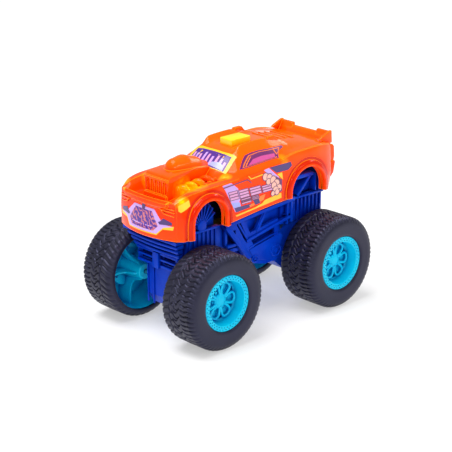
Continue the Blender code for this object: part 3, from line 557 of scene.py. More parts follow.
def shell_skin():
    """The outer skin as one sheet: sections along the truck, closed by a nose and a tail.

    Its creases run the whole length and fade in and out, which extruding a primitive can't give,
    so the sheet is lofted from the body lines.
    """
    stations = [NOSE_Y, NOSE_Y + 2.6]
    while stations[-1] < TAIL_Y - 4.2:
        stations.append(stations[-1] + 1.4)
    stations += [TAIL_Y - 2.6, TAIL_Y]
    points, faces, rings = [], [], []
    for y in stations:
        ring, corners = section(y)
        prow = PROW * ease(-y, 66, 80) - PROW / 2 * ease(y, 70, 80)
        ring = [point - Vector((0, prow * max(0.0, 1 - (point.x / 30) ** 2), 0)) for point in ring]
        rings.append(list(range(len(points), len(points) + len(ring))))
        points += ring
    for front, back in zip(rings, rings[1:]):
        for k in range(len(front) - 1):
            faces.append((front[k], back[k], back[k + 1], front[k + 1]))
    for ring, table, forward in ((rings[0], NOSE_REACH, -1), (rings[-1], TAIL_REACH, 1)):
        first = corners[3]
        previous = ring[first:len(ring) - first]
        top = [points[k].copy() for k in previous]
        for step in range(1, first + 1):
            left = points[ring[first - step]]
            row = [ring[first - step]]
            fade = max(0.0, 1 - step / 5)
            for spot in top[1:-1]:
                share = spot.x / top[0].x
                reach = reach_at(table, left.z) * (1 - share * share)
                points.append(Vector((share * left.x, left.y + forward * reach,
                                      left.z + (spot.z - top[0].z) * fade)))
                row.append(len(points) - 1)
            row.append(ring[len(ring) - 1 - first + step])
            for k in range(len(row) - 1):
                quad = (previous[k], previous[k + 1], row[k + 1], row[k])
                faces.append(quad[::-forward])
            previous = row
    mesh = bpy.data.meshes.new("body_skin")
    mesh.from_pydata([point * MM for point in points], [], faces)
    skin = bpy.data.objects.new("body_skin", mesh)
    bpy.context.scene.collection.objects.link(skin)
    rims = {frozenset(pair) for ring in (rings[0], rings[-1])
            for pair in zip(ring[:corners[3] + 1], ring[1:corners[3] + 1])}
    rims |= {frozenset(pair) for ring in (rings[0], rings[-1])
             for pair in zip(ring[len(ring) - 1 - corners[3]:], ring[len(ring) - corners[3]:])}
    weights = mesh.attributes.new("bevel_weight_edge", "FLOAT", "EDGE")
    for edge in mesh.edges:
        weights.data[edge.index].value = 1.0 if frozenset(edge.vertices) in rims else 0.0
    apply_modifier(skin, "BEVEL", width=0.9 * MM, segments=3, limit_method="WEIGHT")
    return skin


def arch_line(arch, spread, front_foot, rear_foot, steps=48):
    """Points (y, z) and outward directions round an arch, foot to foot."""
    y, z, radius = arch
    radius += spread
    line = [((y - radius, front_foot + (z - front_foot) * k / 6), (-1, 0)) for k in range(6)]
    for k in range(steps + 1):
        angle = math.pi * (1 - k / steps)
        line.append(((y + radius * math.cos(angle), z + radius * math.sin(angle)),
                     (math.cos(angle), math.sin(angle))))
    line += [((y + radius, z + (rear_foot - z) * k / 6), (1, 0)) for k in range(1, 7)]
    return line


def arch_lip(name, arch, feet):
    """The flare round a wheel arch: a rounded band swept along the arch."""
    band = [(0.0, 30.5), (0.0, 36.2), (0.3, 36.8), (0.9, 37.2), (1.5, 37.2), (1.9, 36.9), (3.4, 36.7),
            (4.3, 36.2),
            (LIP_W, 35.2), (LIP_W + 0.1, 33.2), (LIP_W + 0.1, 30.5)]
    line = arch_line(arch, 0, *feet)
    width, length = len(band), len(line)
    points = [Vector((x, y + out_y * out, z + out_z * out)) * MM
              for (y, z), (out_y, out_z) in line for out, x in band]
    faces = [(row * width + k, row * width + (k + 1) % width,
              (row + 1) * width + (k + 1) % width, (row + 1) * width + k)
             for row in range(length - 1) for k in range(width)]
    faces += [tuple(range(width)), tuple(range((length - 1) * width, length * width))[::-1]]
    mesh = bpy.data.meshes.new(name)
    mesh.from_pydata(points, [], faces)
    lip = bpy.data.objects.new(name, mesh)
    bpy.context.scene.collection.objects.link(lip)
    bpy.ops.object.select_all(action="DESELECT")
    lip.select_set(True)
    bpy.context.view_layer.objects.active = lip
    bpy.ops.object.mode_set(mode="EDIT")
    bpy.ops.mesh.select_all(action="SELECT")
    bpy.ops.mesh.normals_make_consistent(inside=False)
    bpy.ops.object.mode_set(mode="OBJECT")
    smooth(lip)
    return lip


def arch_cutter(arch, inner, outer, spread=0.0):
    """A block in the shape of an arch opening, from inner to outer along X."""
    outline = [spot for spot, _ in arch_line(arch, spread, 60, 60)]
    return drawn("arch_cutter", outline, "X", inner, outer, 0)


skin = shell_skin()
outside = copied(skin, "outside")
apply_modifier(skin, "SOLIDIFY", thickness=SKIN * MM, offset=-1, use_even_offset=False)
cut(skin, [arch_cutter(arch, side * 34.5, side * 45, LIP_W + GROOVE_W)
           for arch in (FRONT_ARCH, REAR_ARCH) for side in (-1, 1)])
cut(skin, [arch_cutter(arch, side * 22, side * 45) for arch in (FRONT_ARCH, REAR_ARCH)
           for side in (-1, 1)]
    + [block("button_hole", (-6.7, -4.7, 120), (6.7, 15.8, 140), 0)])
smooth(skin, 34)
lips = [arch_lip("front_lip", FRONT_ARCH, (79.4, 82.4)), arch_lip("rear_lip", REAR_ARCH, (88.8, 87.6))]

# Blower on the hood: a ribbed mouth, a chamfered top and a long round air cleaner behind.
scoop = drawn("scoop", [(-72.8, 103), (-72.4, 117.0), (-70.6, 120.6), (-58, 122.0), (-42, 121.8),
                        (-30, 119.6), (-21, 117.4),
                        (-21, 103)], "X", -12.8, 12.8, 0.9, 3)
for vertex in scoop.data.vertices:
    vertex.co.x *= 1 - 0.45 * ease(vertex.co.y / MM, -60, -24)
cut(scoop, [drawn("mouth", [(-11.0, 106.6), (11.0, 106.6), (10.4, 117.0), (-10.4, 117.0)],
                  "Y", -76, -71.0, 0)])
ribs = [block("mouth_rib", (x - 0.8, -72.4, 106), (x + 0.8, -70, 117.4), 0.3)
        for x in (-6.6, -2.2, 2.2, 6.6)]
lip_bar = block("mouth_sill", (-12.2, -74.2, 103.6), (12.2, -71.4, 106.8), 0.7)
brow = block("mouth_brow", (-12.4, -73.6, 116.8), (12.4, -71.4, 118.8), 0.6)


def loaf(name, stations):
    """A long round cover: half-round sections at stations of (y, half width, foot z, top z)."""
    bpy.ops.object.select_all(action="DESELECT")
    bpy.ops.mesh.primitive_uv_sphere_add(segments=48, ring_count=32, radius=1)
    cover = bpy.context.active_object
    cover.name = name
    first, last = stations[0][0], stations[-1][0]
    for vertex in cover.data.vertices:
        across = math.hypot(vertex.co.x, vertex.co.y) or 1.0
        y = first + (last - first) * (vertex.co.z + 1) / 2
        end = next(k for k in range(1, len(stations)) if y <= stations[k][0] + 1e-6)
        share = (y - stations[end - 1][0]) / (stations[end][0] - stations[end - 1][0])
        share = math.sqrt(1 - (1 - share) ** 2) if end == 1 else ease(share, -0.15, 1.0)
        _, *before = stations[end - 1]
        _, *after = stations[end]
        width, foot, top = (a + (b - a) * share for a, b in zip(before, after))
        rise = max(vertex.co.y / across, -0.2)            # a short skirt goes down into the scoop
        vertex.co = Vector((vertex.co.x / across * width, y, foot + rise * (top - foot))) * MM
    smooth(cover, 60)
    return cover


dome = loaf("air_cleaner", [(-62.0, 0.6, 120.4, 121), (-55, 7.6, 120.8, 129.2),
                            (-46, 9.2, 121.0, 130.3), (-36, 8.2, 120.4, 127.4),
                            (-27, 5.4, 118.4, 122.8), (-19, 1.6, 116, 118)])
# Raised seams along the hood's edge and the hip.
hood_line = [on_line(RAILS[3], -77 + 4 * k) + Vector((0.6, 0, -0.1)) for k in range(13)]
hip_line = [on_line(RAILS[2], 22 + 4.4 * k) + Vector((-0.5, 0, 0.0)) for k in range(13)]
seams = [tube("hood_seam", hood_line, 0.55), tube("hip_seam", hip_line, 0.6)]
shell = joined("body_shell_skin", [skin, scoop, dome, lip_bar, brow, both_sides("seams", seams)] + ribs
               + lips + [mirrored(lip, lip.name + "_right") for lip in lips])
finish(shell, orange, nodes=("body_shell",))

# Valve covers and curled header pipes either side of the blower.
pipes = []
for k in range(4):
    y = -63 + 7.4 * k
    z = 107.6 + 0.8 * k
    pipes.append(tube("header", [(13.0, y, z + 3.0), (16.5, y + 0.4, z + 5.6), (20.4, y + 1.2, z + 4.6),
                                 (21.6, y + 2.6, z + 1.2), (21.0, y + 4.0, z - 1.6)], 2.15, sides=4))
pipes.append(tube("collector", [(21.6, -64, 107.6), (22.0, -54, 109.4), (21.8, -42, 111.4),
                                (21.0, -34, 113.4)], 1.9))
pipes.append(block("valve_cover", (12.4, -66, 106), (16.4, -35, 113.2), 1.2, 3))
headers = both_sides("engine_headers", pipes)
finish(headers, orange)

# Nose: slats beside the grille.
slats = []
for line in (((15.4, 103.4), (22.4, 102.6), (28.6, 102.2)),
             ((16.8, 101.2), (22.8, 100.6), (28.8, 100.2)),
             ((18.2, 100.6), (19.0, 99.6), (20.0, 98.6), (24.0, 98.0), (28.4, 97.4))):
    slats.append(tube("nose_slat", [(x, -80.2 - 5.2 * (1 - (x / 30) ** 2), z) for x, z in line], 0.45))
finish(both_sides("nose_slats", slats), orange)

# Tail: lamps, corner blocks and the bumper.
tail = [drawn("tail_corner", [(78.0, 120.0), (80.6, 119.6), (82.7, 117.4), (83.2, 109.4), (82.4, 106.4),
                              (77.0, 105.6)],
              "X", 17.6, 29.4, 0.6, 3),
        *(block("tail_lamp", (18.8, 82.2, z), (28.4, 83.8, z + 2.2), 0.5) for z in (109.6, 112.6)),
        drawn("bumper_wedge", [(78.0, 105.4), (82.0, 106.8), (83.4, 105.4), (81.8, 97.2), (79.0, 94.0),
                               (76.0, 94.6)], "X", 19.0, 30.2, 0.6, 3)]
bumper = block("bumper_bar", (-25, 80.4, 95.0), (25, 84.3, 102.0), 0.9, 3)
panel = block("tail_panel", (-17.5, 81.0, 104.6), (17.5, 83.2, 113.6), 0.6)
finish(joined("tail_bumper", [both_sides("tail_corners", tail), bumper, panel]), orange)

# Roof fins, and the louvres behind the roof.
fin = drawn("roof_fin", [(17.6, 129.5), (20.6, 134.5), (27.6, 134.5), (32.4, 129.0)], "X", 15.6, 19.2,
            0.5, 2)
louvres = []
for k in range(4):
    y, drop = 34 + 6.4 * k, 0.768 * k                     # they step down with the roof
    outline = [(y, 125.6), (y, 129.6 - drop), (y + 4.4, 128.2 - drop), (y + 5.2, 125.2)]
    louvres.append(drawn("louvre", outline, "X", -11.6, 11.6, 0.4, 2))
finish(joined("roof_louvres", louvres), orange)
finish(both_sides("roof_fins", [fin]), orange)

# Spoiler: a blade with raised ends.
blade = drawn("blade", [(76.2, 121.4), (79.8, 126.4), (82.2, 126.5), (82.9, 119.9), (80.2, 119.2),
                        (74.0, 121.0)],
              "X", -26.2, 26.2, 0.4)
ends = [drawn("blade_end", [(77.6, 122.4), (80.4, 128.6), (82.6, 128.7), (83.3, 119.5), (80.2, 119.2)],
              "X", *sorted((side * 12.5, side * 26.4)), 0.5) for side in (-1, 1)]
fences = [drawn("blade_fence", [(68.8, 124.4), (71.6, 126.0), (80.0, 129.4), (82.4, 129.4),
                                (83.1, 119.9), (76.6, 120.8)],
                "X", *sorted((side * 24.6, side * 26.6)), 0.4) for side in (-1, 1)]
finish(joined("spoiler_blade", [blade] + ends + fences), orange,
       nodes=("rear_spoiler",))

# Roof button with a gently crowned cap.
cap = block("button_cap", (-6.4, -4.4, 127.2), (6.4, 15.5, 134.1), 0.9, 3)
skirt = block("button_skirt", (-7.8, -5.8, 126.2), (7.8, 16.9, 127.6), 0.3)
stem = drawn("button_stem", circle(0, BUTTON_Y, 1.6, 20), "Z", 122.5, 127, 0.2)
finish(joined("roof_push_button", [cap, skirt, stem]), yellow, "roof_button",
       ("roof_button",))


# ---- labels -------------------------------------------------------------------------------
def sheet(name, shapes, view, start, lift=0.12, pitch=2.6):
    """Flat printed shapes laid on the shell, each as (ink, [(a, b), ...]), bottom layer first.

    The shapes are drawn square to an axis, cut into small panes and pressed on to the skin.
    """
    layers = []
    for number, (ink, outline) in enumerate(shapes):
        bpy.ops.object.select_all(action="DESELECT")
        bpy.ops.mesh.primitive_circle_add(vertices=len(outline), fill_type="NGON")
        layer = bpy.context.active_object
        for vertex, (a, b) in zip(layer.data.vertices, outline):
            vertex.co = lay(view, a, b, start)
        lows = [min(spot[i] for spot in outline) for i in (0, 1)]
        highs = [max(spot[i] for spot in outline) for i in (0, 1)]
        bpy.ops.object.mode_set(mode="EDIT")
        for i in (0, 1):
            direction = lay(view, *((1, 0) if i == 0 else (0, 1)), 0).normalized()
            level = lows[i] + pitch
            while level < highs[i]:
                bpy.ops.mesh.select_all(action="SELECT")
                bpy.ops.mesh.bisect(plane_co=direction * level * MM, plane_no=direction)
                level += pitch
        bpy.ops.object.mode_set(mode="OBJECT")
        apply_modifier(layer, "SHRINKWRAP", target=outside, wrap_method="PROJECT",
                       wrap_mode="ABOVE_SURFACE",
                       use_project_x=view == "X", use_project_y=view == "Y", use_project_z=view == "Z",
                       use_negative_direction=True, use_positive_direction=True,
                       offset=(lift + 0.35 * number / len(shapes)) * MM)
        if layer.data.polygons[0].normal.dot(lay(view, 0, 0, start)) < 0:
            layer.data.flip_normals()
        layer.data.materials.append(INKS[ink])
        layers.append(layer)
    label = joined(name, layers)
    apply_modifier(label, "SOLIDIFY", thickness=0.1 * MM, offset=-1)
    smooth(label)
    return label


door = [
    ("lilac", [(-39.2, 112.4), (-30.6, 112.9), (-24.2, 107.6), (-22.4, 99.0), (-27.4, 90.4),
               (-36.4, 108.2)]),
    ("lilac", [(2.5, 115.6), (7.6, 116.2), (18.0, 107.0), (12.6, 106.0)]),
    ("violet", [(8.0, 116.4), (29.8, 116.7), (30.9, 113.6), (27.0, 111.0), (15.2, 111.1)]),
    ("yellow", [(15.6, 110.0), (20.8, 110.4), (21.6, 104.6)]),
    ("plum", [(14.4, 108.7), (20.6, 104.8), (20.4, 96.0), (15.4, 95.4)]),
    ("yellow", [(-27.1, 87.8), (-6.4, 89.7), (0.0, 91.2), (2.5, 93.0), (19.6, 95.0), (20.0, 91.0),
                (-25.9, 86.7)]),
    ("violet", [(-28.4, 93.7), (-11.3, 93.5), (-12.5, 90.9), (-26.6, 90.0)]),
    ("sky", [(-31.5, 98.2), (-22.8, 97.0), (-21.8, 93.6), (-29.2, 94.0)]),
    ("orange", [(-4.4, 96.8), (3.0, 97.6), (1.2, 93.4), (-3.0, 93.0)]),
    ("violet", [(-9.6, 95.6), (-3.8, 95.6), (-2.0, 91.9), (-7.0, 91.4)]),
    ("orange", [(-13.4, 92.6), (-8.6, 93.4), (-7.8, 91.6), (-12.4, 90.9)]),
]
for y, z, width, height in ((-34.0, 99.6, 9.2, 6.9), (-24.2, 99.3, 10.0, 6.8), (-13.4, 99.0, 11.6, 6.6),
                            (-1.0, 98.9, 11.4, 5.7), (-22.2, 94.6, 10.2, 4.6),
                            (-11.4, 95.6, 7.6, 3.2)):
    lean = 0.25 * height                  # each block leans back and is crossed by two slats
    edge = 0.5
    door += [("maroon", [(y, z + height), (y + width, z + height), (y + width + lean, z),
                         (y + lean, z)]),
             ("pink", [(y + 0.25 + edge, z + height - edge), (y + width - edge, z + height - edge),
                       (y + width + lean - 0.25 - edge, z + edge), (y + lean + edge, z + edge)])]
    for row in (0.68, 0.36):
        level, slip = z + height * row, lean * (1 - row)
        door.append(("maroon", [(y + slip, level + 0.35), (y + width + slip, level + 0.35),
                                (y + width + slip + 0.2, level - 0.35),
                                (y + slip + 0.2, level - 0.35)]))
puffs = ((3.6, 110.4, 2.9), (7.6, 109.2, 2.8), (6.4, 106.2, 2.4), (11.2, 106.6, 3.0),
         (14.6, 103.4, 3.1), (11.8, 102.4, 2.6), (17.0, 99.4, 2.9), (13.4, 98.6, 2.8),
         (15.0, 96.6, 2.3), (10.6, 96.4, 2.0))
for y, z, radius in puffs:
    for ink, size in (("maroon", radius + 0.35), ("pale", radius - 0.25)):
        door.append((ink, circle(y, z, size, 14)))
door += [("maroon", [(-38.6, 111.0), (-14.2, 112.4), (-10.4, 109.0), (-11.2, 108.7), (-14.6, 111.6),
                     (-38.2, 110.2)]),
         ("yellow", [(-13.0, 114.4), (-10.8, 112.2), (1.0, 113.2), (1.0, 112.4), (-11.2, 111.4),
                     (-13.8, 114.2)])]
lamp_shape = [(-78.6, 101.8), (-77.2, 100.6), (-69.8, 104.4), (-70.4, 108.6), (-78.4, 105.6)]
left_lamp = sheet("headlight", [("lens", lamp_shape)], "X", 45, 0.3)
finish(mirrored(left_lamp, "headlight_right"), None)
left_lamp.name = "headlight_left"
finish(left_lamp, None)

left_door = sheet("door_label", door, "X", 45)
finish(mirrored(left_door, "door_label_film_right"), None,
       nodes=("door_label_right",))
left_door.name = "door_label_film_left"
finish(left_door, None, nodes=("door_label_left",))

side_glass = [
    ("plum", [(-17.0, 118.7), (-6.4, 126.4), (-1.6, 127.4), (6, 127.8), (31.0, 126.8), (31.6, 125.8),
              (24.6, 124.4), (20.8, 120.8)]),
    ("orange", [(-14.2, 119.3), (-4.0, 126.0), (6, 127.0), (27.6, 126.2), (22.4, 122.6),
                (19.6, 121.0)]),
    ("plum", [(-12.8, 119.6), (-3.4, 125.6), (6, 126.6), (26.0, 125.8), (21.6, 122.8), (18.8, 121.2)]),
    ("orange", [(-11.4, 119.7), (-3.0, 125.1), (-2.2, 125.1), (-10.2, 119.8)]),
    ("orange", [(19.8, 126.2), (20.6, 126.2), (21.8, 122.6), (21.0, 122.0)]),
    ("magenta", [(-8.4, 120.0), (-2.0, 123.2), (6, 124.0), (19.4, 123.6), (18.4, 121.4)]),
]
left_glass = sheet("side_glass", side_glass, "X", 45)
finish(mirrored(left_glass, "side_window_film_right"), None)
left_glass.name = "side_window_film_left"
finish(left_glass, None)

grille = [
    ("yellow", [(-28.4, 90.4), (-27.6, 87.4), (-19.4, 86.8), (-14.6, 81.9), (14.6, 81.9), (19.4, 86.8),
                (27.6, 87.4), (28.4, 90.4), (19.0, 88.8),
                (-19.0, 88.8)]),
    ("lilac", [(-27.4, 90.0), (-19.8, 88.2), (-14.4, 82.9), (14.4, 82.9), (19.8, 88.2), (27.4, 90.0),
               (20.4, 90.6), (10.6, 99.8), (-10.6, 99.8),
               (-20.4, 90.6)]),
    ("mesh", [(-15.2, 88.4), (-11.6, 84.6), (11.6, 84.6), (15.2, 88.4), (8.8, 98.0), (-8.8, 98.0)]),
    ("violet", [(15.2, 91.4), (16.6, 90.0), (26.8, 91.0), (26.8, 93.0), (19.4, 95.0), (17.6, 92.8)]),
    ("violet", [(-15.2, 91.4), (-16.6, 90.0), (-26.8, 91.0), (-26.8, 93.0), (-19.4, 95.0),
                (-17.6, 92.8)]),
    ("violet", [(-1.4, 97.6), (1.4, 97.6), (1.8, 101.6), (-1.8, 101.6)]),
]
finish(sheet("grille_film", grille, "Y", -95), None, nodes=("grille_label",))

screen = [
    ("yellow", [(-22.6, -25.6), (-8, -27.2), (8, -27.2), (22.6, -25.6), (20.6, -12.4), (8, -13.4),
                (-8, -13.4), (-20.6, -12.4)]),
    ("purple", [(-20.4, -25.4), (-8, -26.8), (8, -26.8), (19.6, -25.4), (17.4, -14.6), (8, -15.2),
                (-8, -15.2), (-18.4, -14.6)]),
] + [("lilac" if k % 2 else "pink", [(x, -25.4), (x + 2.4, -25.4), (x + 0.9, -17.4 - (k % 3)),
                                     (x - 0.9, -17.8 - (k % 3))])
     for k, x in enumerate((-17.4, -13.4, -9.4, -5.2, -1.0, 3.4, 7.8, 12.2, 16.0))] + [
    ("sky", [(4.0, -26.0), (18.4, -25.4), (17.4, -22.6), (13.0, -21.6), (6.0, -23.2)])]
finish(sheet("windscreen_film", screen, "Z", 150), None, nodes=("windscreen_label",))
bpy.data.objects.remove(outside)


# ---- wheels ---------------------------------------------------------------------------------
def groove(value, width):
    """1 in the middle of a groove and 0 outside it."""
    return 1 - ease(abs(value), width * 0.45, width)


def strip(x, low, high):
    """1 between low and high across the tyre, fading out within a millimetre."""
    return ease(x, low, low + 1) * (1 - ease(x, high, high + 1))


def tread_depth(angle, x):
    """Depth of the tread pattern at a spot of the tyre, 0 on top of a block."""
    around = angle / math.tau
    wave = (around * 60) % 1 - 0.5
    shoulder = groove(wave + 0.12 * math.sin(x * 0.8), 0.2) * ease(x, 49.5, 50.5) * 0.9
    pitch = (around * 36) % 1 - 0.5
    hook = groove(pitch + 0.30 * math.sin((x - 38.5) * 0.62) - 0.1, 0.13) * strip(x, 39, 48.4)
    half = (around * 36 + 0.5) % 1 - 0.5
    comma = groove(half + 0.2 * math.cos((x - 39) * 0.55), 0.11) * strip(x, 41.5, 46.2)
    slant = (around * 44 + (x - 29) * 0.085) % 1 - 0.5
    inner = groove(slant, 0.2) * (1 - ease(x, 37.0, 38.4))
    belt = groove(x - 38.8 - 0.5 * math.sin(angle * 36), 0.8) * 0.7
    return max(shoulder, hook * 0.95, comma * 0.8, inner * 0.9, belt)


def tyre_mesh(name):
    """One tyre on the left, at the middle of the truck, on the height of the axle."""
    outer = [(60.6, 21.2), (61.3, 21.9), (61.5, 23.4), (61.5, 25.5), (61.6, 27.6), (61.6, 29.6)]
    outer += [(61.4, 31.2), (61.0, 32.4), (60.4, 33.6), (59.6, 34.6), (58.6, 35.3), (57.6, 35.8)]
    count = 62
    tread = [(57.0 - 24.0 * k / count, 36.0 - 0.25 * abs(k / count - 0.5)) for k in range(count + 1)]
    inner = [(32.0, 35.8), (31.0, 35.3), (30.2, 34.5), (29.2, 33.4), (28.5, 32.4), (28.2, 31.2),
             (28.2, 30.0)]
    back = [(28.5, 29.6), (30.4, 29.6), (30.4, 31.3), (58.6, 31.3), (58.6, 21.2)]
    tyre = turned(name, (outer + tread + inner + back)[::-1], (0, AXLE_Z), 432)
    for vertex in tyre.data.vertices:
        x, y, z = vertex.co / MM
        radius = math.hypot(y, z - AXLE_Z)
        if radius < 32.6 or x > 61.2:
            continue
        depth = TREAD_DEPTH * tread_depth(math.atan2(z - AXLE_Z, y) % math.tau, x)
        depth *= ease(radius, 32.4, 34.6)
        scale = (radius - depth) / radius
        vertex.co = Vector((x, y * scale, AXLE_Z + (z - AXLE_Z) * scale)) * MM
    smooth(tyre, 60)
    return tyre


def around_axle(radius, angle):
    """A spot (y, z) round an axle at the middle of the truck."""
    return radius * math.cos(angle), AXLE_Z + radius * math.sin(angle)


def rim_mesh(name):
    """One wheel moulding: dimpled flange, deep dish with six petals, drum, hub boss and webs."""
    rim = turned(name, [(54.2, 0), (54.0, 2.4), (53.6, 4.2), (53.0, 5.4), (51.8, 6.0), (51.8, 14.6),
                        (52.2, 15.2), (53.2, 15.6), (59.4, 16.4), (60.2, 16.7), (60.6, 17.3),
                        (60.6, 20.5), (60.3, 20.9), (58.3, 20.9), (58.2, 30.9), (30.8, 30.9),
                        (30.6, 30.7), (30.6, 29.5), (30.8, 29.3), (56.4, 29.3), (56.4, 17.8),
                        (50.0, 16.2), (50.0, 8.4), (29.2, 6.2), (28.6, 5.6), (28.6, 1.9), (50.4, 1.9),
                        (50.4, 0)][::-1], (0, AXLE_Z), 96)
    windows, holes = [], []
    for k in range(6):
        middle = math.tau * (k + 0.5) / 6
        windows.append(drawn("window", [around_axle(r, middle + a) for r, a in (
            (9.4, 0.0), (13.7, -0.21), (14.5, 0.0), (13.7, 0.21))], "X", 48, 53.5, 0))
        middle = math.tau * k / 6
        windows.append(drawn("pocket", [around_axle(r, middle + a) for r, a in (
            (6.6, -0.2), (7.2, 0.0), (6.6, 0.2), (12.4, 0.22), (13.0, 0.0), (12.4, -0.22))],
                             "X", 51.0, 53.7, 0))
        holes.append(drawn("pocket_hole", circle(*around_axle(8.0, middle), 0.9, 10),
                           "X", 50.4, 53.0, 0))
    dimples = []
    for k in range(40):
        for radius, shift in ((17.9, 0), (19.5, 0.5)):
            spot = around_axle(radius, math.tau * (k + shift) / 40)
            dimples.append(drawn("dimple", circle(*spot, 0.5, 6), "X", 59.6, 61.5, 0))
    for cutters in (windows, holes, dimples):
        cut(rim, cutters)
    smooth(rim, 35)
    parts = [rim]
    for k in range(6):
        middle = math.tau * k / 6
        half = [(4.0, 0.40), (6.5, 0.41), (9.0, 0.39), (11.2, 0.36), (13.0, 0.28), (14.0, 0.13)]
        path = [(r, a) for r, a in half] + [(r, -a) for r, a in half[::-1]]
        parts.append(tube("petal", [(53.0 - 0.03 * r, *around_axle(r, middle + a)) for r, a in path],
                          1.1, sides=4))
    for k in range(5):
        middle = math.tau * (k + 0.62) / 5
        across = (math.cos(middle), math.sin(middle))
        web = drawn("web", [(30.6, 5.6), (33.0, 8.2), (39.6, 10.0), (42.4, 13.6), (43.2, 19.0),
                            (41.6, 29.4), (56.6, 29.4), (56.6, 17.6), (49.9, 16.0),
                            (49.9, 5.6)], "Z", -0.8, 0.8, 0.3)
        for vertex in web.data.vertices:
            x, reach, thick = vertex.co / MM
            vertex.co = Vector((x, reach * across[0] - thick * across[1],
                                AXLE_Z + reach * across[1] + thick * across[0])) * MM
        parts.append(web)
    return joined(name, parts)


tyre = tyre_mesh("tyre_master")
rim = rim_mesh("rim_master")
for word, y, body in (("front", AXLES_Y[0], "front_axle_set"), ("rear", AXLES_Y[1], "rear_axle_set")):
    for hand in ("left", "right"):
        for master, kind, material, slot in ((tyre, "tyre", vinyl, "tyre_vinyl"),
                                             (rim, "rim", cyan, "rim_cyan")):
            name = f"{kind}_moulding_{word}_{hand}"
            piece = copied(master, name) if hand == "left" else mirrored(master, name)
            moved(piece, (0, y, 0))
            finish(piece, material, body, (f"{kind}_{word}_{hand}",))
bpy.data.objects.remove(tyre)
bpy.data.objects.remove(rim)

# ---- chassis ------------------------------------------------------------------------------------
NEAR, FAR = 26.9, 31.6                    # how far the side rails stand off the tub
rails = [bar("sill_rail", (-33.4, 80.2), (38.5, 85.6), 3.6, "X", NEAR, FAR, 0.9),
         bar("front_strut", (-32.0, 79.2), (-8.2, 49.0), 4.4, "X", NEAR, FAR - 0.4, 0.9),
         bar("front_strut_edge", (-33.8, 78.6), (-9.6, 47.6), 1.0, "X", NEAR, FAR + 0.2, 0.3),
         bar("inner_strut", (-20.4, 79.6), (-10.4, 64.4), 1.6, "X", NEAR, FAR - 1.4),
         bar("cross_rail", (-11.6, 63.2), (34.4, 72.0), 2.6, "X", NEAR, FAR - 0.8, 0.6),
         bar("thin_strut", (8.6, 82.4), (-0.6, 68.0), 1.3, "X", NEAR, FAR - 1.6),
         bar("lower_rail", (-7.6, 57.2), (21.0, 62.4), 1.2, "X", NEAR, FAR - 1.8),
         bar("rear_post", (35.6, 84.6), (35.6, 67.4), 2.4, "X", NEAR, FAR - 1.0, 0.5),
         bar("rear_post_web", (31.8, 84.2), (31.8, 66.0), 1.2, "X", NEAR, FAR - 1.6)]
for y, z, radius in ((19.6, 48.4, 4.2), (-2.4, 47.0, 2.6)):
    ring = tube("boss_loop", [(FAR - 1.8, y + radius * math.cos(math.tau * k / 10) * 1.15,
                               z + radius * math.sin(math.tau * k / 10)) for k in range(10)], 0.8,
                closed=True)
    rails += [ring, drawn("boss", circle(y, z, 0.5 * radius, 16), "X", NEAR, FAR - 1.4, 0.4)]
rails.append(drawn("lower_panel", [(-8.4, 55.6), (-3.2, 46.2), (10, 42.6), (19.4, 42.8), (22.6, 47.6),
                                   (27.0, 58.4), (24.0, 61.4)],
                   "X", NEAR, FAR - 1.7, 0.6))
finish(both_sides("side_rails", rails), blue)

towers = []
for k in range(7):
    y = -65.4 + 4.1 * k
    towers.append(block("front_rib", (26.0, y, 62.6), (27.6, y + 1.3, 80.4), 0.35))
towers.append(block("front_ledge", (24.4, -67.4, 79.6), (28.6, -37.0, 81.4), 0.6))
towers.append(block("link_post", (26.4, -32.6, 64.0), (29.4, -30.0, 76.0), 0.7))
towers.append(block("link_bar", (26.4, -31.6, 62.0), (31.2, -20.6, 64.6), 0.9))
towers.append(block("link_seat", (26.4, -28.4, 57.6), (30.0, -19.0, 61.0), 0.9))
for k in range(8):
    y = 39.4 + 4.2 * k
    towers.append(drawn("rear_rib", [(26.0, 84.2), (28.2, 84.2), (28.2, 74.6), (27.4, 73.0),
                                     (27.4, 66.2), (26.0, 66.2)], "Y", y, y + 1.4, 0.35))
towers.append(block("rear_ledge", (24.2, 37.4, 83.4), (29.0, 72.2, 85.4), 0.6))
finish(both_sides("tower_ribs", towers), blue)


def arched(name, middle, radius, feet, low, high):
    """A plate with a half-round top between two feet, each (y, z)."""
    y, z = middle
    angles = [math.pi * (1 - k / 16) for k in range(17)]
    top = [(y + radius * math.cos(angle), z + radius * math.sin(angle)) for angle in angles]
    return drawn(name, [feet[0], *top, feet[1]], "X", low, high, 0.4)


